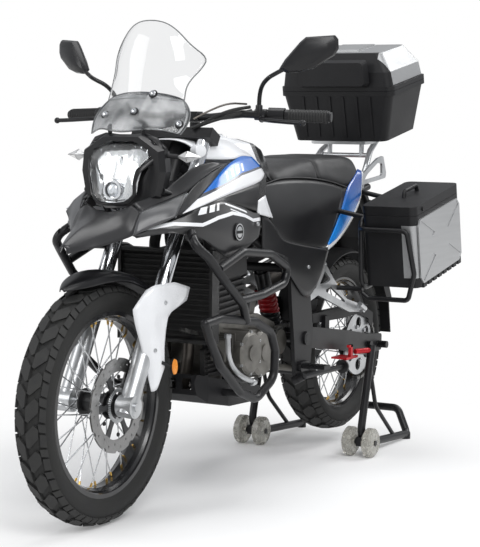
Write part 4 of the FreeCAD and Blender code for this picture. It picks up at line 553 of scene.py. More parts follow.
def tube(bm, points, radius, segments=12, smooth=2):
    """A round tube along a few points, its corners rounded by cutting them."""
    for _ in range(smooth):
        cut = [points[0]]
        for a, b in zip(points, points[1:]):
            cut += [a.lerp(b, 0.25), a.lerp(b, 0.75)]
        points = cut + [points[-1]]
    rings = []
    normal = None
    for i, point in enumerate(points):
        along = (points[min(i + 1, len(points) - 1)] - points[max(i - 1, 0)]).normalized()
        if normal is None:
            normal = along.orthogonal().normalized()
        normal = (normal - along * normal.dot(along)).normalized()
        side = along.cross(normal)
        ring = []
        for k in range(segments):
            angle = 2 * math.pi * k / segments
            ring.append(bm.verts.new(point + (normal * math.cos(angle) + side * math.sin(angle)) * radius))
        rings.append(ring)
    for a, b in zip(rings, rings[1:]):
        bridged(bm, a, b)
    bm.faces.new(list(reversed(rings[0])))
    bm.faces.new(rings[-1])


def spun(profile, axle, steps):
    """Turns a profile of (radius, y) points, in millimetres, round a wheel's axle."""
    bm = bmesh.new()
    x, z = axle
    verts = [bm.verts.new(mm(x + r, y, z)) for r, y in profile]
    edges = [bm.edges.new((a, b)) for a, b in zip(verts, verts[1:] + verts[:1])]
    bmesh.ops.spin(bm, geom=verts + edges, cent=mm(x, 0, z), axis=(0, 1, 0), angle=2 * math.pi, steps=steps,
                   use_merge=True)
    return bm


def quads(bm, lines):
    """Faces between neighbouring lines of vertices."""
    return [bm.faces.new((a[i], a[i + 1], b[i + 1], b[i])) for a, b in zip(lines, lines[1:])
            for i in range(len(a) - 1)]


def grid_sheet(rows):
    """A sheet through rows of points, in millimetres, for the left half and mirrored about Y = 0."""
    bm = bmesh.new()
    lines = []
    for row in rows:
        half = [bm.verts.new(point) for point in on_side(row, 1)]
        other = [bm.verts.new(point) for point in on_side(row[1:], -1)]
        lines.append(list(reversed(other)) + half)
    quads(bm, lines)
    return bm


def border_creased(bm, amount):
    """Marks the border of a sheet so that rounding leaves its corners."""
    layer = bm.verts.layers.float.new("crease_vert")
    for vert in bm.verts:
        if vert.is_boundary:
            vert[layer] = amount


def subdivided(piece, levels, corners=False):
    curve = piece.modifiers.new("Rounding", "SUBSURF")
    curve.levels = levels
    curve.render_levels = levels
    if corners:
        curve.boundary_smooth = "PRESERVE_CORNERS"


def walled(piece, thickness, levels=2, corners=True):
    """Rounds a sheet by subdivision and gives it its wall, inward."""
    subdivided(piece, levels, corners)
    wall = piece.modifiers.new("Wall", "SOLIDIFY")
    wall.thickness = thickness
    wall.offset = -1.0


def panel(name, rows, material, replaces=(), thickness=2.5, hard=(), border=0.0, body="chassis"):
    """A moulded panel through rows of points on the left, in millimetres, and its twin on the right."""
    bm = bmesh.new()
    layer = bm.edges.layers.float.new("crease_edge")
    core = mm(250, 0, 800)
    for side in (1, -1):
        lines = [[bm.verts.new(point) for point in on_side(row, side)] for row in rows]
        faces = quads(bm, lines)
        for k in hard:
            for first, second in zip(lines, lines[1:]):
                bm.edges.get((first[k], second[k]))[layer] = 0.75
        bm.normal_update()
        if sum(f.normal.dot(f.calc_center_median() - core) * f.calc_area() for f in faces) < 0:
            bmesh.ops.reverse_faces(bm, faces=faces)
    bmesh.ops.remove_doubles(bm, verts=bm.verts, dist=1e-5)
    border_creased(bm, border)
    walled(new_piece(name, bm, material, 180.0, body, replaces, outward=False), thickness * SCALE)


# Wheels

# Outer radius, radius of the bead's seat and width of each tyre, in millimetres
FRONT_TYRE = (330.0, 241.0, 102.0)
REAR_TYRE = (300.0, 216.0, 128.0)
TREAD_DEPTH = 7.0
PITCH_PARTS = 50.0
SPEED_TEETH = 48
SPEED_RADIUS = 42


def tyre_profile(radius, seat, width):
    """Half of the tyre's outside as (y, r) points, from the crown to the bead."""
    half = width / 2
    crown = radius - TREAD_DEPTH
    return [(0, crown), (half * 0.30, crown - 1.5), (half * 0.58, crown - 6), (half * 0.80, crown - 15),
            (half * 0.93, crown - 27), (half * 0.985, crown - 42), (half * 0.94, seat + 26),
            (half * 0.78, seat + 14), (34, seat + 5), (31, seat + 1)]


def on_profile(profile, across):
    """Point and outward direction (y, r, ny, nr) at a distance across the tread from its middle."""
    side = 1 if across >= 0 else -1
    left = abs(across)
    for (ya, ra), (yb, rb) in zip(profile, profile[1:]):
        run = math.hypot(yb - ya, rb - ra)
        if left <= run:
            t = left / run
            ny, nr = -(rb - ra) / run, (yb - ya) / run
            return side * (ya + (yb - ya) * t), ra + (rb - ra) * t, side * ny, nr
        left -= run
    return side * profile[-1][0], profile[-1][1], side, 0.0


def tread_block(profile, radius, width, corners, side, step):
    """One block as a mesh: (round, across) corners with a wide foot in the casing and a narrower face."""
    inner = max(abs(v) for u, v in corners) < width * 0.36
    rise = TREAD_DEPTH if inner else TREAD_DEPTH * 0.8
    middle_u = sum(u for u, v in corners) / len(corners)
    middle_v = sum(v for u, v in corners) / len(corners)
    shift = 0.5 if side < 0 else 0.0
    edge = width / 2 - 0.2
    block = bmesh.new()
    rings = []
    for scale, lift in ((1.0, -1.5), (0.955, rise)):
        ring = []
        for u, v in corners:
            y, r, ny, nr = on_profile(profile, side * (middle_v + (v - middle_v) * scale))
            angle = ((middle_u + (u - middle_u) * scale) / PITCH_PARTS + shift) * step
            reach = min(r + nr * lift, radius - 0.3)
            y = max(-edge, min(edge, y + ny * lift))
            ring.append(block.verts.new((reach * math.cos(angle), y, reach * math.sin(angle))))
        rings.append(ring)
    block.faces.new(rings[1])
    block.faces.new(list(reversed(rings[0])))
    bridged(block, *rings)
    bmesh.ops.scale(block, verts=block.verts, vec=(SCALE, SCALE, SCALE))
    mesh = bpy.data.meshes.new("tread_block")
    block.to_mesh(mesh)
    block.free()
    return mesh


def build_tyre(end, axle, radius, seat, width, pitches, blocks):
    """A casing spun round the axle, and blocks of tread on each side copied round it."""
    name, body = end + "_tyre", end + "_wheel"
    profile = tyre_profile(radius, seat, width)
    outside = [(r, y) for y, r in reversed(profile)] + [(r, -y) for y, r in profile[1:]]
    inside = [(seat + 4, -26), (radius - 26, -width * 0.30), (radius - 26, width * 0.30), (seat + 4, 26)]
    casing = spun(outside + inside, axle, 120)
    subdivided(new_piece(name + "_casing", casing, "tyre_rubber", 40.0, body, (name,)), 1)
    tread = bmesh.new()
    step = 2 * math.pi / pitches
    for corners in blocks:
        for side in (1, -1):
            mesh = tread_block(profile, radius, width, corners, side, step)
            for i in range(pitches):
                start = len(tread.verts)
                tread.from_mesh(mesh)
                tread.verts.ensure_lookup_table()
                turn = Matrix.Rotation(step * i, 3, "Y")
                bmesh.ops.rotate(tread, verts=tread.verts[start:], cent=(0, 0, 0), matrix=turn)
            bpy.data.meshes.remove(mesh)
    bmesh.ops.translate(tread, verts=tread.verts, vec=mm(axle[0], 0, axle[1]))
    new_piece(name + "_tread", tread, "tread_rubber", 30.0, body)


FRONT_BLOCKS = [
    [(0, 0.6), (27, 0.6), (44, 23), (36, 33), (17, 33), (-3, 9)],
    [(0, 35), (26, 36), (22, 52), (-4, 51)],
    [(30, 34), (46, 32), (43, 51), (26, 52)],
]
REAR_BLOCKS = [
    [(0, 0.6), (27, 0.6), (44, 28), (36, 40), (17, 40), (-3, 11)],
    [(0, 42), (26, 43), (22, 65), (-4, 64)],
    [(30, 41), (46, 39), (43, 64), (26, 65)],
]


def build_wheels(sizes):
    build_tyre("front", FRONT_AXLE, *FRONT_TYRE, sizes.front_pitches, FRONT_BLOCKS)
    build_tyre("rear", REAR_AXLE, *REAR_TYRE, sizes.rear_pitches, REAR_BLOCKS)
    dress("rim_black", "front_rim", "rear_rim")
    dress("front_spokes", "front_hub")
    dress("rear_spokes", "rear_hub")
    dress("front_disc", "front_disc")
    dress("silver", "rear_sprocket")
    x, z = FRONT_AXLE
    bolts("front_disc_bolts", bolt_circle(x, 65.3, z, 78, 6, 30), "black_metal", 0.006, 0.004, "front_wheel")
    ring = bmesh.new()
    for i in range(SPEED_TEETH):
        angle = 2 * math.pi * i / SPEED_TEETH
        spot = mm(x + SPEED_RADIUS * math.cos(angle), 65.4, z + SPEED_RADIUS * math.sin(angle))
        add_box(ring, spot, (0.010, 0.003, 0.003), Matrix.Rotation(-angle, 4, "Y"))
    new_piece("speed_ring", ring, "silver", 30.0, "front_wheel")
    x, z = REAR_AXLE
    bolts("sprocket_bolts", bolt_circle(x, 102.3, z, 60, 6, 15), "chrome", 0.007, 0.005, "rear_wheel")


# Chain

CHAIN_PITCH = 15.875
REAR_PITCH_RADIUS = 117.5
FRONT_PITCH_RADIUS = 45.5


def chain_spots():
    """An even number of points, about a pitch apart, along the chain's pitch line in millimetres."""
    rear = Vector((REAR_AXLE[0], 0, REAR_AXLE[1]))
    front = Vector((DRIVE_SHAFT[0], 0, DRIVE_SHAFT[1]))
    span = front - rear
    tilt = math.acos((REAR_PITCH_RADIUS - FRONT_PITCH_RADIUS) / span.length)
    run = span.length * math.sin(tilt)
    up = math.atan2(span.z, span.x) + tilt
    down = up - 2 * tilt

    def rim(middle, radius, angle):
        return middle + Vector((math.cos(angle), 0, math.sin(angle))) * radius

    # The low leg leaves the front sprocket forward, where a real chain comes back to the rear wheel
    top = Vector((math.sin(up), 0, -math.cos(up)))
    low = Vector((-math.sin(down), 0, math.cos(down)))
    legs = ((run, lambda s: rim(rear, REAR_PITCH_RADIUS, up) + top * s),
            (2 * tilt * FRONT_PITCH_RADIUS,
             lambda s: rim(front, FRONT_PITCH_RADIUS, up - s / FRONT_PITCH_RADIUS)),
            (run, lambda s: rim(front, FRONT_PITCH_RADIUS, down) + low * s),
            (2 * (math.pi - tilt) * REAR_PITCH_RADIUS,
             lambda s: rim(rear, REAR_PITCH_RADIUS, down - s / REAR_PITCH_RADIUS)))
    total = sum(length for length, at in legs)
    count = int(total / CHAIN_PITCH / 2) * 2
    spots = []
    for i in range(count):
        left = total * i / count
        for length, at in legs:
            if left < length:
                spots.append(at(left))
                break
            left -= length
    return spots


def build_chain():
    """Waisted plates in pairs, wide and narrow by turns, with a roller at each joint."""
    half = [(-11.5, 0), (-10, 4.2), (-6.5, 5.8), (-2, 4.0), (2, 4.0), (6.5, 5.8), (10, 4.2), (11.5, 0)]
    waist = half + [(u, -v) for u, v in reversed(half[1:-1])]
    bm = bmesh.new()
    spots = chain_spots()
    for i, here in enumerate(spots):
        ahead = spots[(i + 1) % len(spots)]
        along = (ahead - here).normalized()
        out = Vector((-along.z, 0, along.x))
        for side in (1, -1):
            middle = (here + ahead) / 2 + Vector((0, CHAIN_Y + side * (7.6 if i % 2 == 0 else 5.4), 0))
            slab(bm, [(middle + along * u + out * v) * SCALE for u, v in waist], 0.0016, (0, side, 0))
        add_cone(bm, turned((0, 1, 0), (here + Vector((0, CHAIN_Y, 0))) * SCALE), 0.0046, 0.0046, 0.0108, 8)
    new_piece("roller_chain", bm, "chain_steel", 30.0, replaces=("drive_chain",))
    dress("black_plastic", "chain_guard")


# Fork, bar and mirrors

MUDGUARD_RISE = [(62, 6), (66, 22), (72, 42), (82, 55), (96, 60), (112, 60), (126, 60), (131, 58)]
FORK_GUARD = [
    [(476, 139, 633), (556, 139, 653), (645, 131, 651), (659, 110, 638)],
    [(491, 139, 598), (560, 143, 606), (645, 139, 604), (719, 108, 590)],
    [(596, 140, 566), (620, 141, 562), (672, 136, 556), (706, 108, 548)],
    [(609, 140, 478), (632, 141, 476), (662, 134, 476), (680, 110, 484)],
    [(604, 139, 426), (624, 140, 422), (642, 132, 418), (654, 112, 414)],
    [(628, 132, 372), (634, 131, 366), (640, 128, 363), (646, 122, 362)],
]
MIRROR_RIM = [(312, 320, 1236), (305, 334, 1262), (286, 371, 1311), (278, 385, 1325), (240, 456, 1331),
              (236, 464, 1320), (235, 465, 1294), (240, 456, 1276), (268, 403, 1238), (285, 372, 1229),
              (303, 338, 1226)]
MIRROR_STEM = [(276, 240, 1118), (276, 240, 1160), (296, 258, 1192), (322, 292, 1212), (316, 312, 1224),
               (306, 332, 1236)]
MIRROR_OUT = (0.883, 0.469)
MUDGUARD_RADIUS = 362
CABLES = [[(265, 205, 1132), (316, 175, 1123), (333, 130, 1104), (345, 95, 1082), (362, 70, 1070)],
          [(270, 214, 1122), (309, 165, 1106), (338, 125, 1092), (350, 85, 1076)]]
HOSE = [(284, 205, 1140), (330, 170, 1142), (364, 125, 1118), (392, 95, 1096)]
GRIP_TIP = Vector((222, 433, 1106))
BAR_ELBOW = Vector((282, 190, 1112))


def mudguard_rows():
    """Half rows across the mudguard, at angles in degrees over the front axle, from its nose back."""
    x, z = FRONT_AXLE
    rows = []
    for degrees, half in MUDGUARD_RISE:
        angle = math.radians(degrees)
        drop = 4 + 24 * min(1.0, half / 55.0)
        radii = (MUDGUARD_RADIUS, MUDGUARD_RADIUS - 1, MUDGUARD_RADIUS - 8, MUDGUARD_RADIUS - drop)
        rows.append([(x + radius * math.cos(angle), half * share, z + radius * math.sin(angle))
                     for share, radius in zip((0, 0.5, 0.92, 1), radii)])
    return rows


def build_mirrors():
    """Heads turned outward on bent stems: a domed back, a rim and a glass."""
    shell = bmesh.new()
    glass = bmesh.new()
    stems = bmesh.new()
    for side in (1, -1):
        out = Vector((MIRROR_OUT[0], MIRROR_OUT[1] * side, 0))
        rim = on_side(MIRROR_RIM, side)
        middle = sum(rim, Vector()) / len(rim)
        rings = []
        for scale, push in ((0.94, -13), (1.0, -8), (1.0, 2), (0.90, 11), (0.62, 17)):
            rings.append([shell.verts.new(middle + (p - middle) * scale + out * push * SCALE) for p in rim])
        for a, b in zip(rings, rings[1:]):
            bridged(shell, a, b)
        shell.faces.new(rings[0])
        shell.faces.new(rings[-1])
        slab(glass, [middle + (p - middle) * 0.88 - out * 13 * SCALE for p in rim], 0.0012, -out)
        tube(stems, on_side(MIRROR_STEM, side), 0.0062, 14)
        add_disc(stems, mm(276, 240 * side, 1112), (0, 0, 1), 0.010, 0.026, 12, 0.1)
    head = new_piece("mirror_heads", shell, "satin_plastic", 28.0, "steering", ("mirrors",))
    edge = head.modifiers.new("Edge", "BEVEL")
    edge.width = 0.002
    edge.segments = 2
    edge.limit_method = "ANGLE"
    edge.angle_limit = math.radians(50)
    new_piece("mirror_glass", glass, "mirror_glass", 30.0, "steering")
    new_piece("mirror_stems", stems, "satin_plastic", 40.0, "steering")


def build_fork_reflectors():
    """Oval amber reflectors on a bent wire each."""
    lens = bmesh.new()
    base = bmesh.new()
    for side in (1, -1):
        place = turned((0, side, 0), mm(575, side * 148, 424)) @ Matrix.Diagonal((0.8, 1.45, 1, 1))
        add_cone(base, place, 0.0165, 0.016, 0.006, 28)
        add_cone(lens, place, 0.0150, 0.0138, 0.005, 28, 0.0045)
        tube(base, on_side([(576, 145, 424), (594, 145, 430), (622, 138, 440)], side), 0.005, 10, 1)
    new_piece("fork_reflector_base", base, "black_plastic", 35.0, "steering")
    new_piece("fork_reflectors", lens, "lamp_amber", 35.0, "steering")


def build_bar():
    """Ribs on the grips, nuts on the yokes, cables and hoses."""
    grips = bmesh.new()
    nuts = bmesh.new()
    cables = bmesh.new()
    hoses = bmesh.new()
    along = (GRIP_TIP - BAR_ELBOW).normalized()
    for side in (1, -1):
        mirror = Vector((1, side, 1))
        for i in range(14):
            at = (GRIP_TIP - along * (10 + i * 8.0)) * mirror
            add_disc(grips, at * SCALE, along * mirror, 0.0183, 0.0050, 20, 0.25)
        add_disc(nuts, mm(294, side * 42, 1104), (0, 0, 1), 0.006, 0.005, 12, 0.2, 0.5)
        for path in CABLES:
            tube(cables, on_side(path, side), 0.0050, 10)
        tube(hoses, on_side(HOSE, side), 0.0028, 8)
    add_disc(nuts, mm(291, 0, 1046), (-0.477, 0, 0.879), 0.019, 0.008, 24, 0.2, 0.5)
    new_piece("grip_ribs", grips, "grip_rubber", body="steering")
    new_piece("yoke_nuts", nuts, "silver", 30.0, "steering")
    new_piece("bar_cables", cables, "grip_rubber", body="steering")
    new_piece("bar_hoses", hoses, "steel_pipe", body="steering")


def build_front_end():
    dress("chrome", "fork_stanchions")
    dress("silver", "fork_lowers")
    dress("black_metal", "fork_yokes", "front_caliper", "handlebar")
    panel("fork_shields", FORK_GUARD, "white_paint", ("fork_guards",), 3.0, (1, 2), 0.9, "steering")
    panel("front_fender", mudguard_rows(), "satin_plastic", ("front_mudguard",), 3.0, body="steering")
    screws = mirrored_places([((606, 139, 601), (0.3, 0.95, 0.1)), ((650, 135, 476), (0.4, 0.9, 0.1))])
    bolts("fork_guard_screws", screws, "silver", 0.0062, 0.004, "steering")
    build_mirrors()
    build_fork_reflectors()
    build_bar()


# Screens and headlight

UPPER_SCREEN = [
    [(474, 0, 1366), (472, 22, 1365), (468, 44, 1360), (463, 64, 1350)],
    [(490, 0, 1335), (487, 34, 1334), (476, 64, 1332), (456, 86, 1332)],
    [(500, 0, 1300), (496, 44, 1299), (480, 84, 1297), (444, 116, 1297)],
    [(508, 0, 1264), (502, 56, 1264), (476, 110, 1264), (410, 150, 1264)],
    [(514, 0, 1235), (508, 52, 1235), (484, 104, 1235), (427, 142, 1235)],
    [(519, 0, 1205), (513, 46, 1205), (494, 92, 1205), (459, 127, 1205)],
    [(524, 0, 1180), (518, 44, 1180), (502, 88, 1180), (478, 121, 1180)],
    [(530, 0, 1150), (523, 42, 1149), (508, 86, 1146), (492, 124, 1142)],
]
LOWER_SCREEN = [
    [(521, 0, 1168), (515, 44, 1166), (500, 86, 1160), (489, 122, 1148)],
    [(548, 0, 1140), (540, 48, 1138), (520, 98, 1130), (500, 149, 1118)],
    [(580, 0, 1108), (572, 50, 1106), (548, 102, 1100), (515, 156, 1092)],
    [(604, 0, 1080), (596, 48, 1082), (572, 98, 1082), (530, 152, 1070)],
    [(622, 0, 1056), (612, 45, 1062), (586, 92, 1068), (545, 144, 1052)],
]
SCREEN_BOLTS = [(530, 48, 1162), (572, 14, 1113), (545, -98, 1104), (540, 138, 1080)]
LENS = [
    [(606, 0, 1037), (604, 30, 1040), (600, 62, 1043), (606, 98, 1032)],
    [(636, 0, 1014), (630, 36, 1015), (618, 74, 1014), (600, 116, 1008)],
    [(660, 0, 988), (652, 34, 987), (640, 66, 984), (626, 92, 984)],
    [(676, 0, 958), (670, 26, 957), (664, 50, 956), (656, 74, 957)],
    [(682, 0, 922), (677, 22, 921), (668, 44, 920), (658, 66, 922)],
    [(684, 0, 890), (679, 20, 889), (668, 42, 888), (654, 64, 890)],
    [(678, 0, 868), (676, 14, 868), (672, 26, 869), (664, 42, 872)],
]
LENS_MIDDLE_Z = 955.0
SURROUND_OUTER = [(590, 0, 1050), (588, 34, 1053), (590, 66, 1056), (592, 102, 1044), (584, 132, 1008),
                  (620, 102, 972), (653, 84, 951), (655, 74, 919), (651, 73, 888), (660, 51, 864),
                  (670, 30, 861), (680, 0, 860)]
SURROUND_INNER = [(604, 0, 1039), (602, 30, 1042), (598, 62, 1045), (604, 99, 1034), (597, 118, 1008),
                  (624, 94, 984), (656, 74, 957), (658, 66, 922), (654, 64, 890), (664, 42, 872),
                  (672, 26, 869), (678, 0, 868)]


def edge_cord(name, rows, radius):
    """A thin round bead along the top and side border of a screen."""
    half = rows[0] + [row[-1] for row in rows[1:]]
    bm = bmesh.new()
    tube(bm, list(reversed(on_side(half[1:], -1))) + on_side(half, 1), radius, 8)
    new_piece(name, bm, "screen_rim", 60.0)


def build_screens(sizes):
    """The clear upper and the smoked lower screen, a bead round each, and bolts in rubber rings."""
    for name, rows, material, node, levels in (
            ("windscreen_bubble", UPPER_SCREEN, "clear_screen", "windscreen", 3),
            ("screen_smoked", LOWER_SCREEN, "smoked_screen", "screen_lower", 2)):
        walled(new_piece(name, grid_sheet(rows), material, 80.0, replaces=(node,)), sizes.screen_wall, levels)
    edge_cord("windscreen_edge", UPPER_SCREEN, 0.0017)
    edge_cord("smoked_edge", LOWER_SCREEN, 0.0014)
    heads = [(mm(x, y, z), (0.80, 0.2 if y > 100 else 0.0, 0.5)) for x, y, z in SCREEN_BOLTS]
    bolts("screen_bolts", heads, "chrome", 0.0095, 0.007)
    rings = bmesh.new()
    for at, direction in heads:
        add_disc(rings, at - Vector(direction).normalized() * 0.0015, direction, 0.0125, 0.003, 28, 0.3)
    new_piece("screen_grommets", rings, "black_plastic")


def about_lens(share, z):
    """A height drawn toward the middle of the lens."""
    return LENS_MIDDLE_Z + (z - LENS_MIDDLE_Z) * share


def build_lamp_shell():
    """Lens, reflector bowl and back, and the brow that frames them."""
    front = grid_sheet(LENS)
    border_creased(front, 0.8)
    walled(new_piece("headlight_lens", front, "lamp_lens", 60.0, replaces=("headlight",)), 0.0025)

    def deep(y, z):
        return 9 + 50 * (1 - y / 125.0) * (1 - abs(z - LENS_MIDDLE_Z) / 125.0)

    rows = [[(x - deep(y, z), y * 0.985, about_lens(0.985, z)) for x, y, z in row] for row in LENS]
    bowl = grid_sheet(rows)
    border_creased(bowl, 0.8)
    walled(new_piece("headlight_reflector", bowl, "reflector", 20.0), 0.003, 1, False)
    back = grid_sheet([[(x - 60, y * 0.97, about_lens(0.97, z)) for x, y, z in row] for row in LENS])
    walled(new_piece("headlight_back", back, "black_plastic"), 0.003, 1, False)
    surround = bmesh.new()
    ridge = [((a + d) / 2 + 4, (b + e) / 2, (c + f) / 2)
             for (a, b, c), (d, e, f) in zip(SURROUND_OUTER, SURROUND_INNER)]
    for side in (1, -1):
        lines = [[surround.verts.new(point) for point in on_side(points, side)]
                 for points in (SURROUND_OUTER, ridge, SURROUND_INNER)]
        quads(surround, lines if side < 0 else lines[::-1])
    border_creased(surround, 0.9)
    rim = new_piece("headlight_surround", surround, "satin_plastic", 180.0, outward=False)
    walled(rim, 0.004, 1, False)


def build_lamp_inside():
    """Projector below, high beam above, and thin vanes round them."""
    low = bmesh.new()
    add_disc(low, mm(630, 0, 902), (1, 0, 0), 0.029, 0.030, 40, 0.1, 0.80)
    new_piece("projector_ring", low, "chrome")
    ball = bmesh.new()
    bmesh.ops.create_uvsphere(ball, u_segments=32, v_segments=16, radius=0.0195,
                              matrix=Matrix.Translation(mm(650, 0, 902)) @ Matrix.Diagonal((0.7, 1, 1, 1)))
    new_piece("projector_glass", ball, "bulb", 60.0)
    high = bmesh.new()
    add_disc(high, mm(576, 0, 985), (1, 0, 0), 0.018, 0.026, 28, 0.15, 0.72)
    add_disc(high, mm(576, 0, 985), (1, 0, 0), 0.0065, 0.044, 20, 0.2)
    new_piece("high_beam_bulb", high, "bulb")
    vanes = bmesh.new()
    for y in (-66, -48, -30, 30, 48, 66):
        corners = [mm(566, y, 962), mm(566, y, 1016), mm(598, y * 1.12, 1018), mm(610, y * 1.1, 970)]
        slab(vanes, corners, 0.0012, (0, 1, 0))
    for z in (948, 938):
        corners = [mm(576, -50, z), mm(576, 50, z), mm(626, 52, z - 4), mm(626, -52, z - 4)]
        slab(vanes, corners, 0.0012, (0, 0, 1))
    new_piece("reflector_vanes", vanes, "chrome", 30.0)


def build_headlight():
    build_lamp_shell()
    build_lamp_inside()
    dress("satin_plastic", "nose_fairing")


# Bodywork

BEAK = [
    [(890, 0, 763), (889, 6, 762), (887, 11, 757), (886, 13, 742)],
    [(850, 0, 786), (846, 16, 780), (840, 32, 768), (838, 38, 752)],
    [(809, 0, 806), (806, 24, 799), (800, 46, 784), (805, 60, 759)],
    [(765, 0, 820), (758, 34, 815), (745, 66, 800), (754, 83, 772)],
    [(730, 0, 830), (724, 38, 828), (714, 74, 812), (708, 100, 785)],
    [(705, 0, 838), (702, 38, 839), (696, 72, 838), (693, 99, 815)],
    [(680, 0, 843), (678, 38, 849), (670, 74, 866), (668, 98, 847)],
]
CHEEK = [
    [(708, 100, 785), (693, 99, 815), (668, 98, 847)],
    [(670, 129, 805), (665, 126, 837), (644, 112, 859)],
    [(639, 156, 821), (620, 153, 860), (594, 138, 877)],
    [(619, 178, 837), (585, 176, 867), (536, 163, 898)],
]
RIDGE = [
    [(668, 98, 847), (668, 89, 856), (674, 77, 868)],
    [(605, 119, 869), (618, 105, 872), (626, 93, 883)],
    [(567, 140, 883), (586, 123, 884), (591, 110, 895)],
    [(533, 160, 898), (545, 144, 908), (550, 132, 925)],
    [(450, 168, 940), (475, 154, 940), (484, 146, 962)],
    [(390, 170, 962), (420, 160, 960), (440, 152, 972)],
    [(330, 172, 974), (350, 164, 974), (390, 158, 977)],
]
DARK_STRIP = [
    [(619, 178, 837), (608, 182, 841), (596, 186, 844)],
    [(536, 163, 898), (517, 175, 893), (498, 184, 887)],
    [(450, 168, 940), (440, 174, 930), (429, 178, 920)],
    [(330, 172, 974), (337, 172, 970), (343, 170, 966)],
]
TANK_SIDE = [
    [(603, 190, 844), (600, 188, 845), (596, 186, 844)],
    [(514, 206, 863), (509, 197, 876), (498, 184, 887)],
    [(430, 211, 883), (432, 199, 907), (429, 178, 920)],
    [(319, 206, 899), (322, 194, 932), (343, 170, 966)],
    [(200, 192, 913), (212, 182, 944), (270, 164, 984)],
    [(141, 182, 923), (150, 173, 950), (217, 150, 995)],
    [(107, 170, 940), (112, 160, 962), (150, 150, 990)],
]
FACET = [
    [(590, 182, 844), (598, 168, 831)],
    [(514, 206, 863), (544, 208, 857)],
    [(430, 211, 883), (444, 216, 876)],
    [(319, 206, 899), (340, 218, 855)],
    [(200, 192, 913), (205, 192, 838)],
    [(160, 184, 916), (182, 188, 834)],
]
LOWER_SHROUD = [
    [(704, 96, 785), (702, 97, 783), (696, 98, 781), (686, 96, 777)],
    [(655, 120, 805), (656, 124, 800), (648, 127, 793), (638, 124, 784)],
    [(598, 168, 831), (588, 184, 815), (602, 186, 804), (616, 174, 793)],
    [(544, 208, 857), (563, 221, 812), (548, 226, 793), (527, 215, 769)],
    [(444, 216, 876), (421, 234, 839), (430, 242, 780), (441, 230, 716)],
    [(340, 218, 855), (325, 228, 832), (338, 238, 780), (354, 226, 727)],
    [(240, 208, 832), (250, 216, 816), (262, 222, 780), (280, 218, 740)],
    [(190, 200, 828), (196, 206, 810), (198, 208, 786), (206, 207, 762)],
]
FLANK = [
    [(84, 148, 905), (10, 136, 912), (-70, 124, 921), (-208, 130, 922), (-377, 134, 910), (-513, 141, 884)],
    [(84, 152, 874), (20, 152, 862), (-60, 152, 852), (-208, 154, 850), (-372, 152, 845), (-476, 149, 832)],
    [(52, 158, 815), (12, 159, 795), (-50, 162, 780), (-190, 164, 770), (-330, 160, 765), (-421, 154, 777)],
    [(4, 161, 764), (-20, 162, 746), (-60, 163, 731), (-160, 165, 717), (-307, 161, 698), (-354, 157, 706)],
    [(4, 152, 758), (-24, 152, 736), (-64, 152, 722), (-160, 152, 708), (-307, 152, 690), (-350, 152, 700)],
]
WHITE_CORNER = [[(103, 172, 877), (173, 176, 857)], [(80, 172, 842), (164, 176, 840)],
                [(50, 170, 808), (154, 176, 824)]]
TAIL = [
    [(-655, 114, 942), (-664, 124, 936), (-669, 128, 931)],
    [(-590, 132, 914), (-622, 138, 895), (-646, 136, 872)],
    [(-513, 142, 884), (-578, 148, 862), (-631, 140, 836)],
    [(-476, 150, 830), (-520, 155, 805), (-559, 146, 780)],
    [(-421, 156, 776), (-458, 160, 757), (-491, 150, 738)],
    [(-385, 158, 742), (-402, 160, 724), (-421, 153, 706)],
    [(-354, 157, 711), (-356, 158, 700), (-361, 154, 689)],
]
SIDE_COVER = [
    [(116, 168, 819), (54, 162, 808), (0, 160, 765), (-20, 160, 738), (-160, 161, 716), (-307, 159, 697),
     (-357, 158, 689)],
    [(114, 170, 780), (50, 166, 770), (-6, 164, 730), (-60, 164, 700), (-180, 165, 684), (-290, 163, 672),
     (-342, 160, 668)],
    [(113, 168, 716), (60, 166, 700), (-4, 164, 684), (-80, 164, 650), (-190, 164, 630), (-270, 162, 628),
     (-320, 160, 634)],
    [(100, 164, 700), (40, 163, 684), (-30, 162, 666), (-110, 160, 610), (-189, 158, 543), (-240, 158, 552),
     (-290, 158, 600)],
]
TANK_TOP = [
    [(384, 0, 1040), (383, 46, 1037), (378, 84, 1020), (372, 112, 985)],
    [(340, 0, 1046), (338, 54, 1043), (330, 100, 1026), (322, 142, 984)],
    [(280, 0, 1046), (280, 60, 1044), (276, 112, 1030), (270, 164, 984)],
    [(217, 0, 1046), (217, 62, 1044), (217, 112, 1032), (217, 150, 995)],
    [(150, 0, 1045), (150, 60, 1042), (146, 104, 1028), (140, 150, 988)],
    [(100, 0, 1034), (98, 54, 1028), (94, 96, 1010), (86, 142, 970)],
    [(50, 0, 1008), (50, 50, 1002), (50, 90, 988), (52, 138, 950)],
    [(0, 0, 978), (0, 48, 972), (2, 84, 962), (10, 130, 926)],
    [(-50, 0, 950), (-50, 46, 946), (-48, 82, 938), (-40, 122, 914)],
]


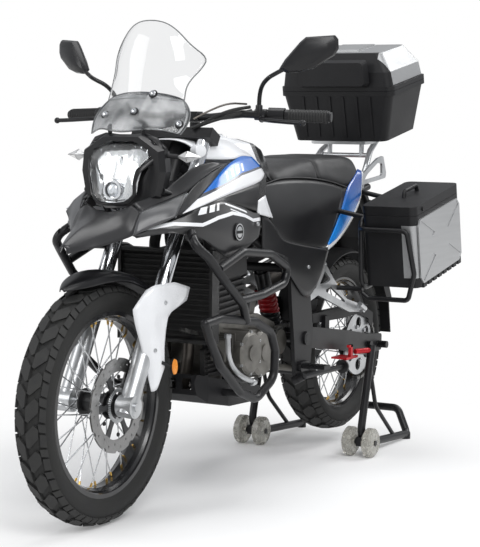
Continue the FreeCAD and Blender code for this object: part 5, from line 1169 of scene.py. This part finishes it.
def build_badges():
    """A plain round badge on each shroud: a base, a ring, a disc and a bar."""
    badge = bmesh.new()
    bar = bmesh.new()
    ring = bmesh.new()
    for side in (1, -1):
        out = (0, side, 0.02)
        place = mm(381, side * 241.0, 785)
        add_disc(badge, mm(381, side * 238, 785), out, 0.0255, 0.0030, 40, 0.3)
        add_disc(ring, place, out, 0.0155, 0.0012, 36, 0.3)
        corners = [place + mm(x, side * 1.2, z) for x, z in ((-17, -4), (17, -4), (17, 4), (-17, 4))]
        slab(bar, corners, 0.0008, (0, side, 0))
        edges = set()
        for radius in (0.0235, 0.0205):
            circle = bmesh.ops.create_circle(ring, cap_ends=False, radius=radius, segments=40,
                                             matrix=turned(out, place))
            edges.update(edge for vert in circle["verts"] for edge in vert.link_edges)
        faces = bmesh.ops.bridge_loops(ring, edges=list(edges))["faces"]
        grown = bmesh.ops.extrude_face_region(ring, geom=faces)["geom"]
        verts = [item for item in grown if isinstance(item, bmesh.types.BMVert)]
        bmesh.ops.translate(ring, verts=verts, vec=(0, side * 0.0006, 0))
    new_piece("badge_base", badge, "black_plastic")
    new_piece("badge_ring", ring, "silver")
    new_piece("badge_bar", bar, "black_plastic")


def build_tank_fittings():
    """The filler cap with its bolts, the panels' screws and the knobs beside the tank's nose."""
    cap = bmesh.new()
    add_disc(cap, mm(120, 0, 1051), (0, 0, 1), 0.029, 0.0035, 40, 0.3, 0.55)
    new_piece("filler_cap_face", cap, "silver")
    places = []
    for i in range(6):
        angle = math.radians(60 * i)
        places.append((mm(120 + 38 * math.cos(angle), 38 * math.sin(angle), 1047), (0, 0, 1)))
    bolts("filler_cap_bolts", places, "chrome", 0.0035, 0.002)
    screws = mirrored_places([((-202, 164, 645), (0, 1, 0)), ((240, 221, 800), (0, 1, 0.1))])
    bolts("panel_screws", screws, "silver", 0.0062, 0.0035)
    knobs = bmesh.new()
    for side in (1, -1):
        add_disc(knobs, mm(396, side * 106, 1006), (0.5, side, 0.1), 0.019, 0.028, 32, 0.2)
    new_piece("side_knobs", knobs, "white_paint")


def build_bodywork():
    panel("beak_panel", BEAK, "graphite_paint", ("beak",), hard=(0, 2), border=0.8)
    panel("cheek_panels", CHEEK, "cheek_paint", border=0.8)
    panel("ridge_strips", RIDGE, "graphite_paint", hard=(1,), border=0.8)
    panel("dark_strips", DARK_STRIP, "graphite_paint")
    panel("tank_side_panels", TANK_SIDE, "wing_paint", ("tank_wings",))
    panel("shroud_facets", FACET, "satin_plastic")
    panel("lower_shrouds", LOWER_SHROUD, "shroud_paint", ("side_shrouds",), hard=(1,), border=0.5)
    panel("seat_flanks", FLANK, "satin_plastic", ("seat_skirts",))
    panel("tail_sides", TAIL, "tail_paint", ("tail_panels",))
    panel("frame_covers", SIDE_COVER, "satin_plastic", ("side_covers",))
    stitch = bmesh.new()
    for side in (1, -1):
        tube(stitch, on_side([(x, y + 1.5, z + 1) for x, y, z in FLANK[0]], side), 0.0022, 8)
    new_piece("saddle_seams", stitch, "seat_vinyl", 60.0)
    panel("white_corners", WHITE_CORNER, "white_paint", thickness=2.0)
    panel("tank_cover", TANK_TOP, "tank_paint")
    dress("tank_paint", "fuel_tank")
    dress("black_plastic", "rear_mudguard")
    build_badges()
    build_tank_fittings()


# Seats

# Sections from front to rear: x, half width low and high, height low and high
RIDER_SECTIONS = [(-62, 118, 92, 905, 948), (-120, 128, 106, 905, 956), (-220, 130, 116, 905, 970),
                  (-300, 132, 118, 905, 976), (-329, 132, 108, 906, 978)]
PILLION_SECTIONS = [(-331, 134, 108, 906, 978), (-380, 136, 112, 900, 985), (-540, 134, 112, 880, 988),
                    (-640, 124, 102, 896, 980), (-668, 112, 88, 916, 964)]
COVER_REACH = 0.0025


def seat_pad(name, sections, replaces):
    """A foam pad under a soft cover: lofted, remeshed and lifted a little by cloth pressure."""
    bm = bmesh.new()
    rings = []
    for x, low, top, z_low, z_top in sections:
        ring = [(-low, z_low), (-low, z_low + 16), (-top, z_top - 3), (-top * 0.5, z_top), (0, z_top),
                (top * 0.5, z_top), (top, z_top - 3), (low, z_low + 16), (low, z_low), (0, z_low)]
        rings.append([bm.verts.new(mm(x, y, z)) for y, z in ring])
    for a, b in zip(rings, rings[1:]):
        bridged(bm, a, b)
    bm.faces.new(rings[0])
    bm.faces.new(list(reversed(rings[-1])))
    bmesh.ops.recalc_face_normals(bm, faces=bm.faces)
    rounded(bm, [e for e in bm.edges if e.calc_face_angle(0) > math.radians(30)], 0.010, 3)
    pad = new_piece(name, bm, "seat_vinyl", 180.0, replaces=replaces)
    lump = pad.modifiers.new("Remesh", "REMESH")
    lump.mode = "VOXEL"
    lump.voxel_size = 0.006
    settle(pad)
    swell(pad)
    subdivided(pad, 1)


def settle(piece):
    """Makes the modifiers real in the mesh, and clears them."""
    bpy.context.view_layer.update()
    shape = piece.evaluated_get(bpy.context.evaluated_depsgraph_get())
    mesh = bpy.data.meshes.new_from_object(shape)
    old = piece.data
    piece.modifiers.clear()
    piece.data = mesh
    bpy.data.meshes.remove(old)
    for face in mesh.polygons:
        face.use_smooth = True


def swell(piece):
    """Cloth pressure lifts the cover a little off its block, as foam does, and no point moves far."""
    start = [v.co.copy() for v in piece.data.vertices]
    low = min(v.z for v in start)
    pinned = piece.vertex_groups.new(name="base")
    pinned.add([i for i, v in enumerate(start) if v.z < low + 0.012], 1.0, "REPLACE")
    cloth = piece.modifiers.new("Cloth", "CLOTH")
    cloth.settings.use_pressure = True
    cloth.settings.uniform_pressure_force = 4.0
    cloth.settings.effector_weights.gravity = 0.0
    cloth.settings.vertex_group_mass = "base"
    cloth.settings.tension_stiffness = 60
    cloth.settings.compression_stiffness = 60
    cloth.settings.bending_stiffness = 8.0
    cloth.collision_settings.use_collision = False
    scene = bpy.context.scene
    for number in range(1, 21):
        scene.frame_set(number)
    settle(piece)
    scene.frame_set(1)
    for vertex, before in zip(piece.data.vertices, start):
        moved = vertex.co - before
        if moved.length > COVER_REACH:
            vertex.co = before + moved.normalized() * COVER_REACH
    bm = bmesh.new()
    bm.from_mesh(piece.data)
    for _ in range(12):
        bmesh.ops.smooth_vert(bm, verts=bm.verts, factor=0.5, use_axis_x=True, use_axis_y=True,
                              use_axis_z=True)
    bm.to_mesh(piece.data)
    bm.free()


def build_seats():
    seat_pad("rider_cushion", RIDER_SECTIONS, ("rider_seat",))
    seat_pad("pillion_cushion", PILLION_SECTIONS, ("pillion_seat",))


# Engine, frame and running gear

COOLANT_PATH = [(308, 166, 480), (310, 172, 408), (251, 178, 358), (158, 176, 330)]
# Outlines of a stand hook's plate, post and lip, as (x, z)
HOOK_PLATES = (((-540, 325), (-452, 325), (-452, 333), (-540, 333)),
               ((-500, 333), (-486, 333), (-486, 372), (-500, 372)),
               ((-500, 364), (-474, 364), (-474, 372), (-500, 372)))


def build_engine():
    dress("engine_grey", "engine_case")
    dress("engine_black", "engine_cylinder", "engine_covers")
    dress("radiator_core", "radiator")
    dress("black_plastic", "belly_pan")
    dress("steel_pipe", "exhaust")
    dress("shock_paint", "shock_absorber")
    places = []
    for x, y, z, radius, count in ((185, 171.2, 420, 62, 6), (20, 124.2, 400, 70, 7),
                                   (185, -146.2, 420, 68, 6), (20, -146.2, 405, 80, 8)):
        places += bolt_circle(x, y, z, radius, count, 180.0 / count, 1 if y > 0 else -1)
    bolts("engine_bolts", places, "silver", 0.0048, 0.006)
    pipes = bmesh.new()
    tube(pipes, on_side(COOLANT_PATH, 1), 0.0075, 14)
    add_disc(pipes, mm(308, 166, 476), (0, 0, 1), 0.0105, 0.012, 20, 0.2)
    add_disc(pipes, mm(172, 176, 332), (1, 0, 0.1), 0.0105, 0.012, 20, 0.2)
    new_piece("coolant_pipe", pipes, "silver")
    ribs = bmesh.new()
    for i in range(5):
        add_box(ribs, mm(244 + i * 14, 130, 452 - i * 4), (0.004, 0.05, 0.06))
    new_piece("engine_ribs", ribs, "engine_grey", 30.0)


def build_frame():
    dress("frame_grey", "main_frame")
    dress("black_metal", "crash_bars", "pannier_racks", "side_stand", "swingarm", "paddock_stand",
          "foot_pegs")
    dress("silver", "peg_hangers", "luggage_rack")
    hooks = bmesh.new()
    for side in (1, -1):
        for corners in HOOK_PLATES:
            slab(hooks, [mm(x, side * 172, z) for x, z in corners], 0.010, (0, side, 0))
        foot = [(-530, 122, 325), (-462, 122, 325), (-462, 172, 325), (-530, 172, 325)]
        slab(hooks, on_side(foot, side), 0.006, (0, 0, 1))
        tube(hooks, on_side([(-530, 176, 345), (-562, 190, 345), (-596, 204, 345)], side), 0.009, 14, 1)
    new_piece("stand_hook_angles", hooks, "red", replaces=("stand_hooks",))
    dress("clear_roller", "rollers_left", "rollers_right")


# Lamps and luggage

def lens_diamond(bm, middle, reach, half_height, half_depth, side):
    """A pointed clear lamp: a long diamond with a raised ridge."""
    x, y, z = middle
    points = [(x + 4, y - reach * 0.9, z), (x, y - reach * 0.1, z + half_height), (x - 6, y + reach, z),
              (x, y - reach * 0.1, z - half_height), (x + half_depth, y, z), (x - half_depth, y, z)]
    inner, up, outer, down, front, back = [bm.verts.new(point) for point in on_side(points, side)]
    ring = (inner, up, outer, down)
    for i in range(4):
        for tip in (front, back):
            bm.faces.new((ring[i], ring[(i + 1) % 4], tip))


def build_lamps():
    clear = bmesh.new()
    amber = bmesh.new()
    stalks = bmesh.new()
    for side in (1, -1):
        lens_diamond(clear, (560, 180, 993), 41, 17, 17, side)
        tube(stalks, on_side([(592, 100, 1000), (580, 126, 996), (566, 150, 993)], side), 0.0065, 12, 1)
        lens_diamond(amber, (-796, 172, 831), 30, 13, 12, side)
        tube(stalks, on_side([(-796, 98, 824), (-796, 126, 828), (-796, 152, 830)], side), 0.0060, 12, 1)
    for bm in (clear, amber):
        rounded(bm, bm.edges[:], 0.0012, 1)
    new_piece("front_indicators", clear, "lamp_pale", 25.0, replaces=("lamps",))
    new_piece("rear_indicators", amber, "lamp_amber", 25.0)
    new_piece("indicator_stalks", stalks, "black_plastic")
    tail = bmesh.new()
    face = slab(tail, [mm(-762.3, y, z) for y, z in ((-55, 869), (55, 869), (55, 900), (-55, 900))], 0.030,
                (-1, 0, 0))
    bmesh.ops.scale(tail, verts=face, vec=(1, 0.8, 0.75), space=Matrix.Translation(mm(0, 0, -884.5)))
    rounded(tail, tail.edges[:], 0.004, 3)
    new_piece("tail_lamp", tail, "lamp_red")


def build_luggage():
    dress("black_plastic", "top_box_base", "pannier_lid_left", "pannier_lid_right", "backrest_pad")
    dress("pannier_paint", "pannier_left", "pannier_right")
    dress("lid_paint", "top_box_lid")
    dress("box_silver", "pannier_panels")
    build_lamps()


# Stage

CAMERA_PLACE = (4.422763, 2.481144, 1.070913)
CAMERA_FORWARD = (-0.87160478, -0.482514, -0.08651794)
# Place, size and share of the key lamp's power, all aimed at one spot on the object
LAMPS = {"key": ((3.2, 3.4, 4.2), 2.6, 1.0), "fill": ((3.4, -3.2, 2.6), 2.4, 0.35),
         "rim": ((-3.4, 1.8, 3.6), 2.0, 0.5), "top": ((0, 0, 4.6), 2.4, 0.4)}
LAMP_AIM = Vector((0, 0, 0.6))
FLOOR_RADIUS = 14.0
FLOOR_GREY = (0.86, 0.86, 0.86)
FADE_START, FADE_END = 0.35, 1.75


def build_camera(view):
    scene = bpy.context.scene
    camera = bpy.data.objects.new("Camera", bpy.data.cameras.new("Camera"))
    scene.collection.objects.link(camera)
    forward = Vector(CAMERA_FORWARD).normalized()
    right = forward.cross(Vector((0, 0, 1))).normalized()
    upward = right.cross(forward)
    c, s = math.cos(view.roll), math.sin(view.roll)
    right, upward = right * c + upward * s, upward * c - right * s
    turn = Matrix((right, upward, -forward)).transposed()
    camera.matrix_world = Matrix.Translation(Vector(CAMERA_PLACE)) @ turn.to_4x4()
    camera.data.lens = view.lens
    camera.data.sensor_width = 36.0
    camera.data.clip_end = 60.0
    scene.camera = camera
    scene.view_settings.view_transform = "Standard"


def mixed_shader(tree, share, one, two, output):
    """Sends a mix of two shaders to a tree's output."""
    mix = add_node(tree, "MixShader", {0: share, 1: one.outputs[0], 2: two.outputs[0]})
    tree.links.new(mix.outputs[0], tree.nodes[output].inputs["Surface"])


def build_world(view):
    """Soft light from all round, and plain white where the camera looks past the object."""
    world = bpy.data.worlds.new("Studio")
    bpy.context.scene.world = world
    world.use_nodes = True
    tree = world.node_tree
    soft = tree.nodes["Background"]
    soft.inputs["Color"].default_value = (0.95, 0.97, 1.0, 1)
    soft.inputs["Strength"].default_value = view.fill
    white = add_node(tree, "Background", {"Color": (1, 1, 1)})
    path = add_node(tree, "LightPath", {}).outputs
    seen = {0: path["Is Camera Ray"], 1: path["Is Transmission Ray"]}
    first = add_node(tree, "Math", seen, operation="MAXIMUM")
    mixed_shader(tree, first.outputs[0], soft, white, "World Output")


def build_floor():
    """A pale round floor that takes the shadow and fades to white away from the object."""
    bm = bmesh.new()
    bmesh.ops.create_circle(bm, cap_ends=True, radius=FLOOR_RADIUS, segments=64)
    mesh = bpy.data.meshes.new("floor")
    bm.to_mesh(mesh)
    bm.free()
    floor = bpy.data.objects.new("floor", mesh)
    bpy.context.scene.collection.objects.link(floor)
    ground = bpy.data.materials.new("pale_floor")
    ground.use_nodes = True
    tree = ground.node_tree
    shader = tree.nodes["Principled BSDF"]
    for socket, value in (("Base Color", FLOOR_GREY), ("Roughness", 0.9), ("Specular IOR Level", 0.1)):
        feed(tree, value, shader.inputs[socket])
    glow = add_node(tree, "Emission", {"Color": (1, 1, 1), "Strength": 1.0})
    place = add_node(tree, "TexCoord", {}).outputs["Object"]
    far = add_node(tree, "VectorMath", {0: place}, operation="LENGTH").outputs["Value"]
    fade = add_node(tree, "MapRange", {"Value": far, "From Min": FADE_START, "From Max": FADE_END},
                    interpolation_type="SMOOTHSTEP")
    mixed_shader(tree, fade.outputs["Result"], shader, glow, "Material Output")
    mesh.materials.append(ground)


def build_lights(view):
    for name, (spot, size, share) in LAMPS.items():
        data = bpy.data.lights.new(name, "AREA")
        data.energy = view.key * share
        data.size = size
        lamp = bpy.data.objects.new(name, data)
        bpy.context.scene.collection.objects.link(lamp)
        lamp.location = spot
        lamp.rotation_euler = (LAMP_AIM - Vector(spot)).to_track_quat("-Z", "Y").to_euler()


def build_stage(view):
    build_camera(view)
    build_world(view)
    build_floor()
    build_lights(view)


# Settings

class WheelSizes(bpy.types.PropertyGroup):
    front_pitches: bpy.props.IntProperty(
        name="Front tread pitches", description="Repeats of the tread pattern round the front tyre",
        default=30, min=20, max=60)
    rear_pitches: bpy.props.IntProperty(
        name="Rear tread pitches", description="Repeats of the tread pattern round the rear tyre",
        default=28, min=20, max=60)


class BodySizes(bpy.types.PropertyGroup):
    screen_wall: bpy.props.FloatProperty(
        name="Screen thickness", description="Wall of the two screens", default=0.003, unit="LENGTH")


class Colours(bpy.types.PropertyGroup):
    graphite: bpy.props.FloatVectorProperty(
        name="Graphite", description="Paint of the side shrouds and beak", size=3, subtype="COLOR",
        default=(0.016, 0.016, 0.017))
    white: bpy.props.FloatVectorProperty(
        name="White", description="White body paint", size=3, subtype="COLOR", default=(0.76, 0.77, 0.79))
    blue: bpy.props.FloatVectorProperty(
        name="Blue", description="Blue field on the tank's sides", size=3, subtype="COLOR",
        default=(0.006, 0.13, 0.50))


class StageSettings(bpy.types.PropertyGroup):
    lens: bpy.props.FloatProperty(
        name="Lens", description="Focal length of the camera in millimetres", default=109.81,
        unit="CAMERA")
    roll: bpy.props.FloatProperty(
        name="Roll", description="Roll of the camera", default=0.013, subtype="ANGLE")
    key: bpy.props.FloatProperty(
        name="Key light", description="Power of the main lamp in watts", default=170.0, unit="POWER")
    fill: bpy.props.FloatProperty(
        name="Fill", description="Strength of the soft light from all round", default=0.55)


# Operators

class BIKE_OT_finishes(bpy.types.Operator):
    """Makes the materials"""
    bl_idname = "bike.finishes"
    bl_label = "Finishes"

    def execute(self, context):
        make_finishes(context.scene.bike_colours)
        return {"FINISHED"}


class BIKE_OT_wheels(bpy.types.Operator):
    """Adds the treaded tyres, disc bolts and wheel finishes"""
    bl_idname = "bike.wheels"
    bl_label = "Wheels"

    def execute(self, context):
        build_wheels(context.scene.bike_wheels)
        return {"FINISHED"}


class BIKE_OT_chain(bpy.types.Operator):
    """Adds the roller chain"""
    bl_idname = "bike.chain"
    bl_label = "Chain"

    def execute(self, context):
        build_chain()
        return {"FINISHED"}


class BIKE_OT_front_end(bpy.types.Operator):
    """Adds the fork, bar and mirror details"""
    bl_idname = "bike.front_end"
    bl_label = "Fork, bar and mirrors"

    def execute(self, context):
        build_front_end()
        return {"FINISHED"}


class BIKE_OT_screens(bpy.types.Operator):
    """Adds the clear and the smoked screen"""
    bl_idname = "bike.screens"
    bl_label = "Screens"

    def execute(self, context):
        build_screens(context.scene.bike_body)
        return {"FINISHED"}


class BIKE_OT_headlight(bpy.types.Operator):
    """Adds the headlight's lens, reflector and bulbs"""
    bl_idname = "bike.headlight"
    bl_label = "Headlight"

    def execute(self, context):
        build_headlight()
        return {"FINISHED"}


class BIKE_OT_bodywork(bpy.types.Operator):
    """Adds the painted panels and their badges"""
    bl_idname = "bike.bodywork"
    bl_label = "Bodywork"

    def execute(self, context):
        build_bodywork()
        return {"FINISHED"}


class BIKE_OT_seats(bpy.types.Operator):
    """Adds the rider's and the pillion's cushions"""
    bl_idname = "bike.seats"
    bl_label = "Seats"

    def execute(self, context):
        build_seats()
        return {"FINISHED"}


class BIKE_OT_engine(bpy.types.Operator):
    """Dresses the engine and exhaust"""
    bl_idname = "bike.engine"
    bl_label = "Engine"

    def execute(self, context):
        build_engine()
        return {"FINISHED"}


class BIKE_OT_frame(bpy.types.Operator):
    """Dresses the frame, crash bars, racks and stands"""
    bl_idname = "bike.frame"
    bl_label = "Frame and stands"

    def execute(self, context):
        build_frame()
        return {"FINISHED"}


class BIKE_OT_luggage(bpy.types.Operator):
    """Dresses the top box and the panniers"""
    bl_idname = "bike.luggage"
    bl_label = "Luggage"

    def execute(self, context):
        build_luggage()
        return {"FINISHED"}


class BIKE_OT_stage(bpy.types.Operator):
    """Adds the floor, the lights and the camera"""
    bl_idname = "bike.stage"
    bl_label = "Stage"

    def execute(self, context):
        build_stage(context.scene.bike_stage)
        return {"FINISHED"}


STEPS = (BIKE_OT_finishes, BIKE_OT_stage, BIKE_OT_wheels, BIKE_OT_chain, BIKE_OT_front_end, BIKE_OT_screens,
         BIKE_OT_headlight, BIKE_OT_bodywork, BIKE_OT_seats, BIKE_OT_engine, BIKE_OT_frame, BIKE_OT_luggage)


class BIKE_PT_panel(bpy.types.Panel):
    """Lists the steps that dress the motorcycle"""
    bl_idname = "BIKE_PT_panel"
    bl_label = "Motorcycle"
    bl_space_type = "VIEW_3D"
    bl_region_type = "UI"
    bl_category = "Motorcycle"

    def draw(self, context):
        for group in ("bike_wheels", "bike_body", "bike_colours", "bike_stage"):
            settings = getattr(context.scene, group)
            for name in settings.__annotations__:
                self.layout.prop(settings, name)
        for step in STEPS:
            self.layout.operator(step.bl_idname)


GROUPS = {"bike_wheels": WheelSizes, "bike_body": BodySizes, "bike_colours": Colours,
          "bike_stage": StageSettings}


def register():
    for group in GROUPS.values():
        bpy.utils.register_class(group)
    for name, group in GROUPS.items():
        setattr(bpy.types.Scene, name, bpy.props.PointerProperty(type=group))
    for step in STEPS + (BIKE_PT_panel,):
        bpy.utils.register_class(step)


def unregister():
    for step in reversed(STEPS + (BIKE_PT_panel,)):
        bpy.utils.unregister_class(step)
    for name, group in GROUPS.items():
        delattr(bpy.types.Scene, name)
        bpy.utils.unregister_class(group)


def main():
    register()
    for step in STEPS:
        family, name = step.bl_idname.split(".")
        getattr(getattr(bpy.ops, family), name)()


if __name__ == "__main__":
    main()
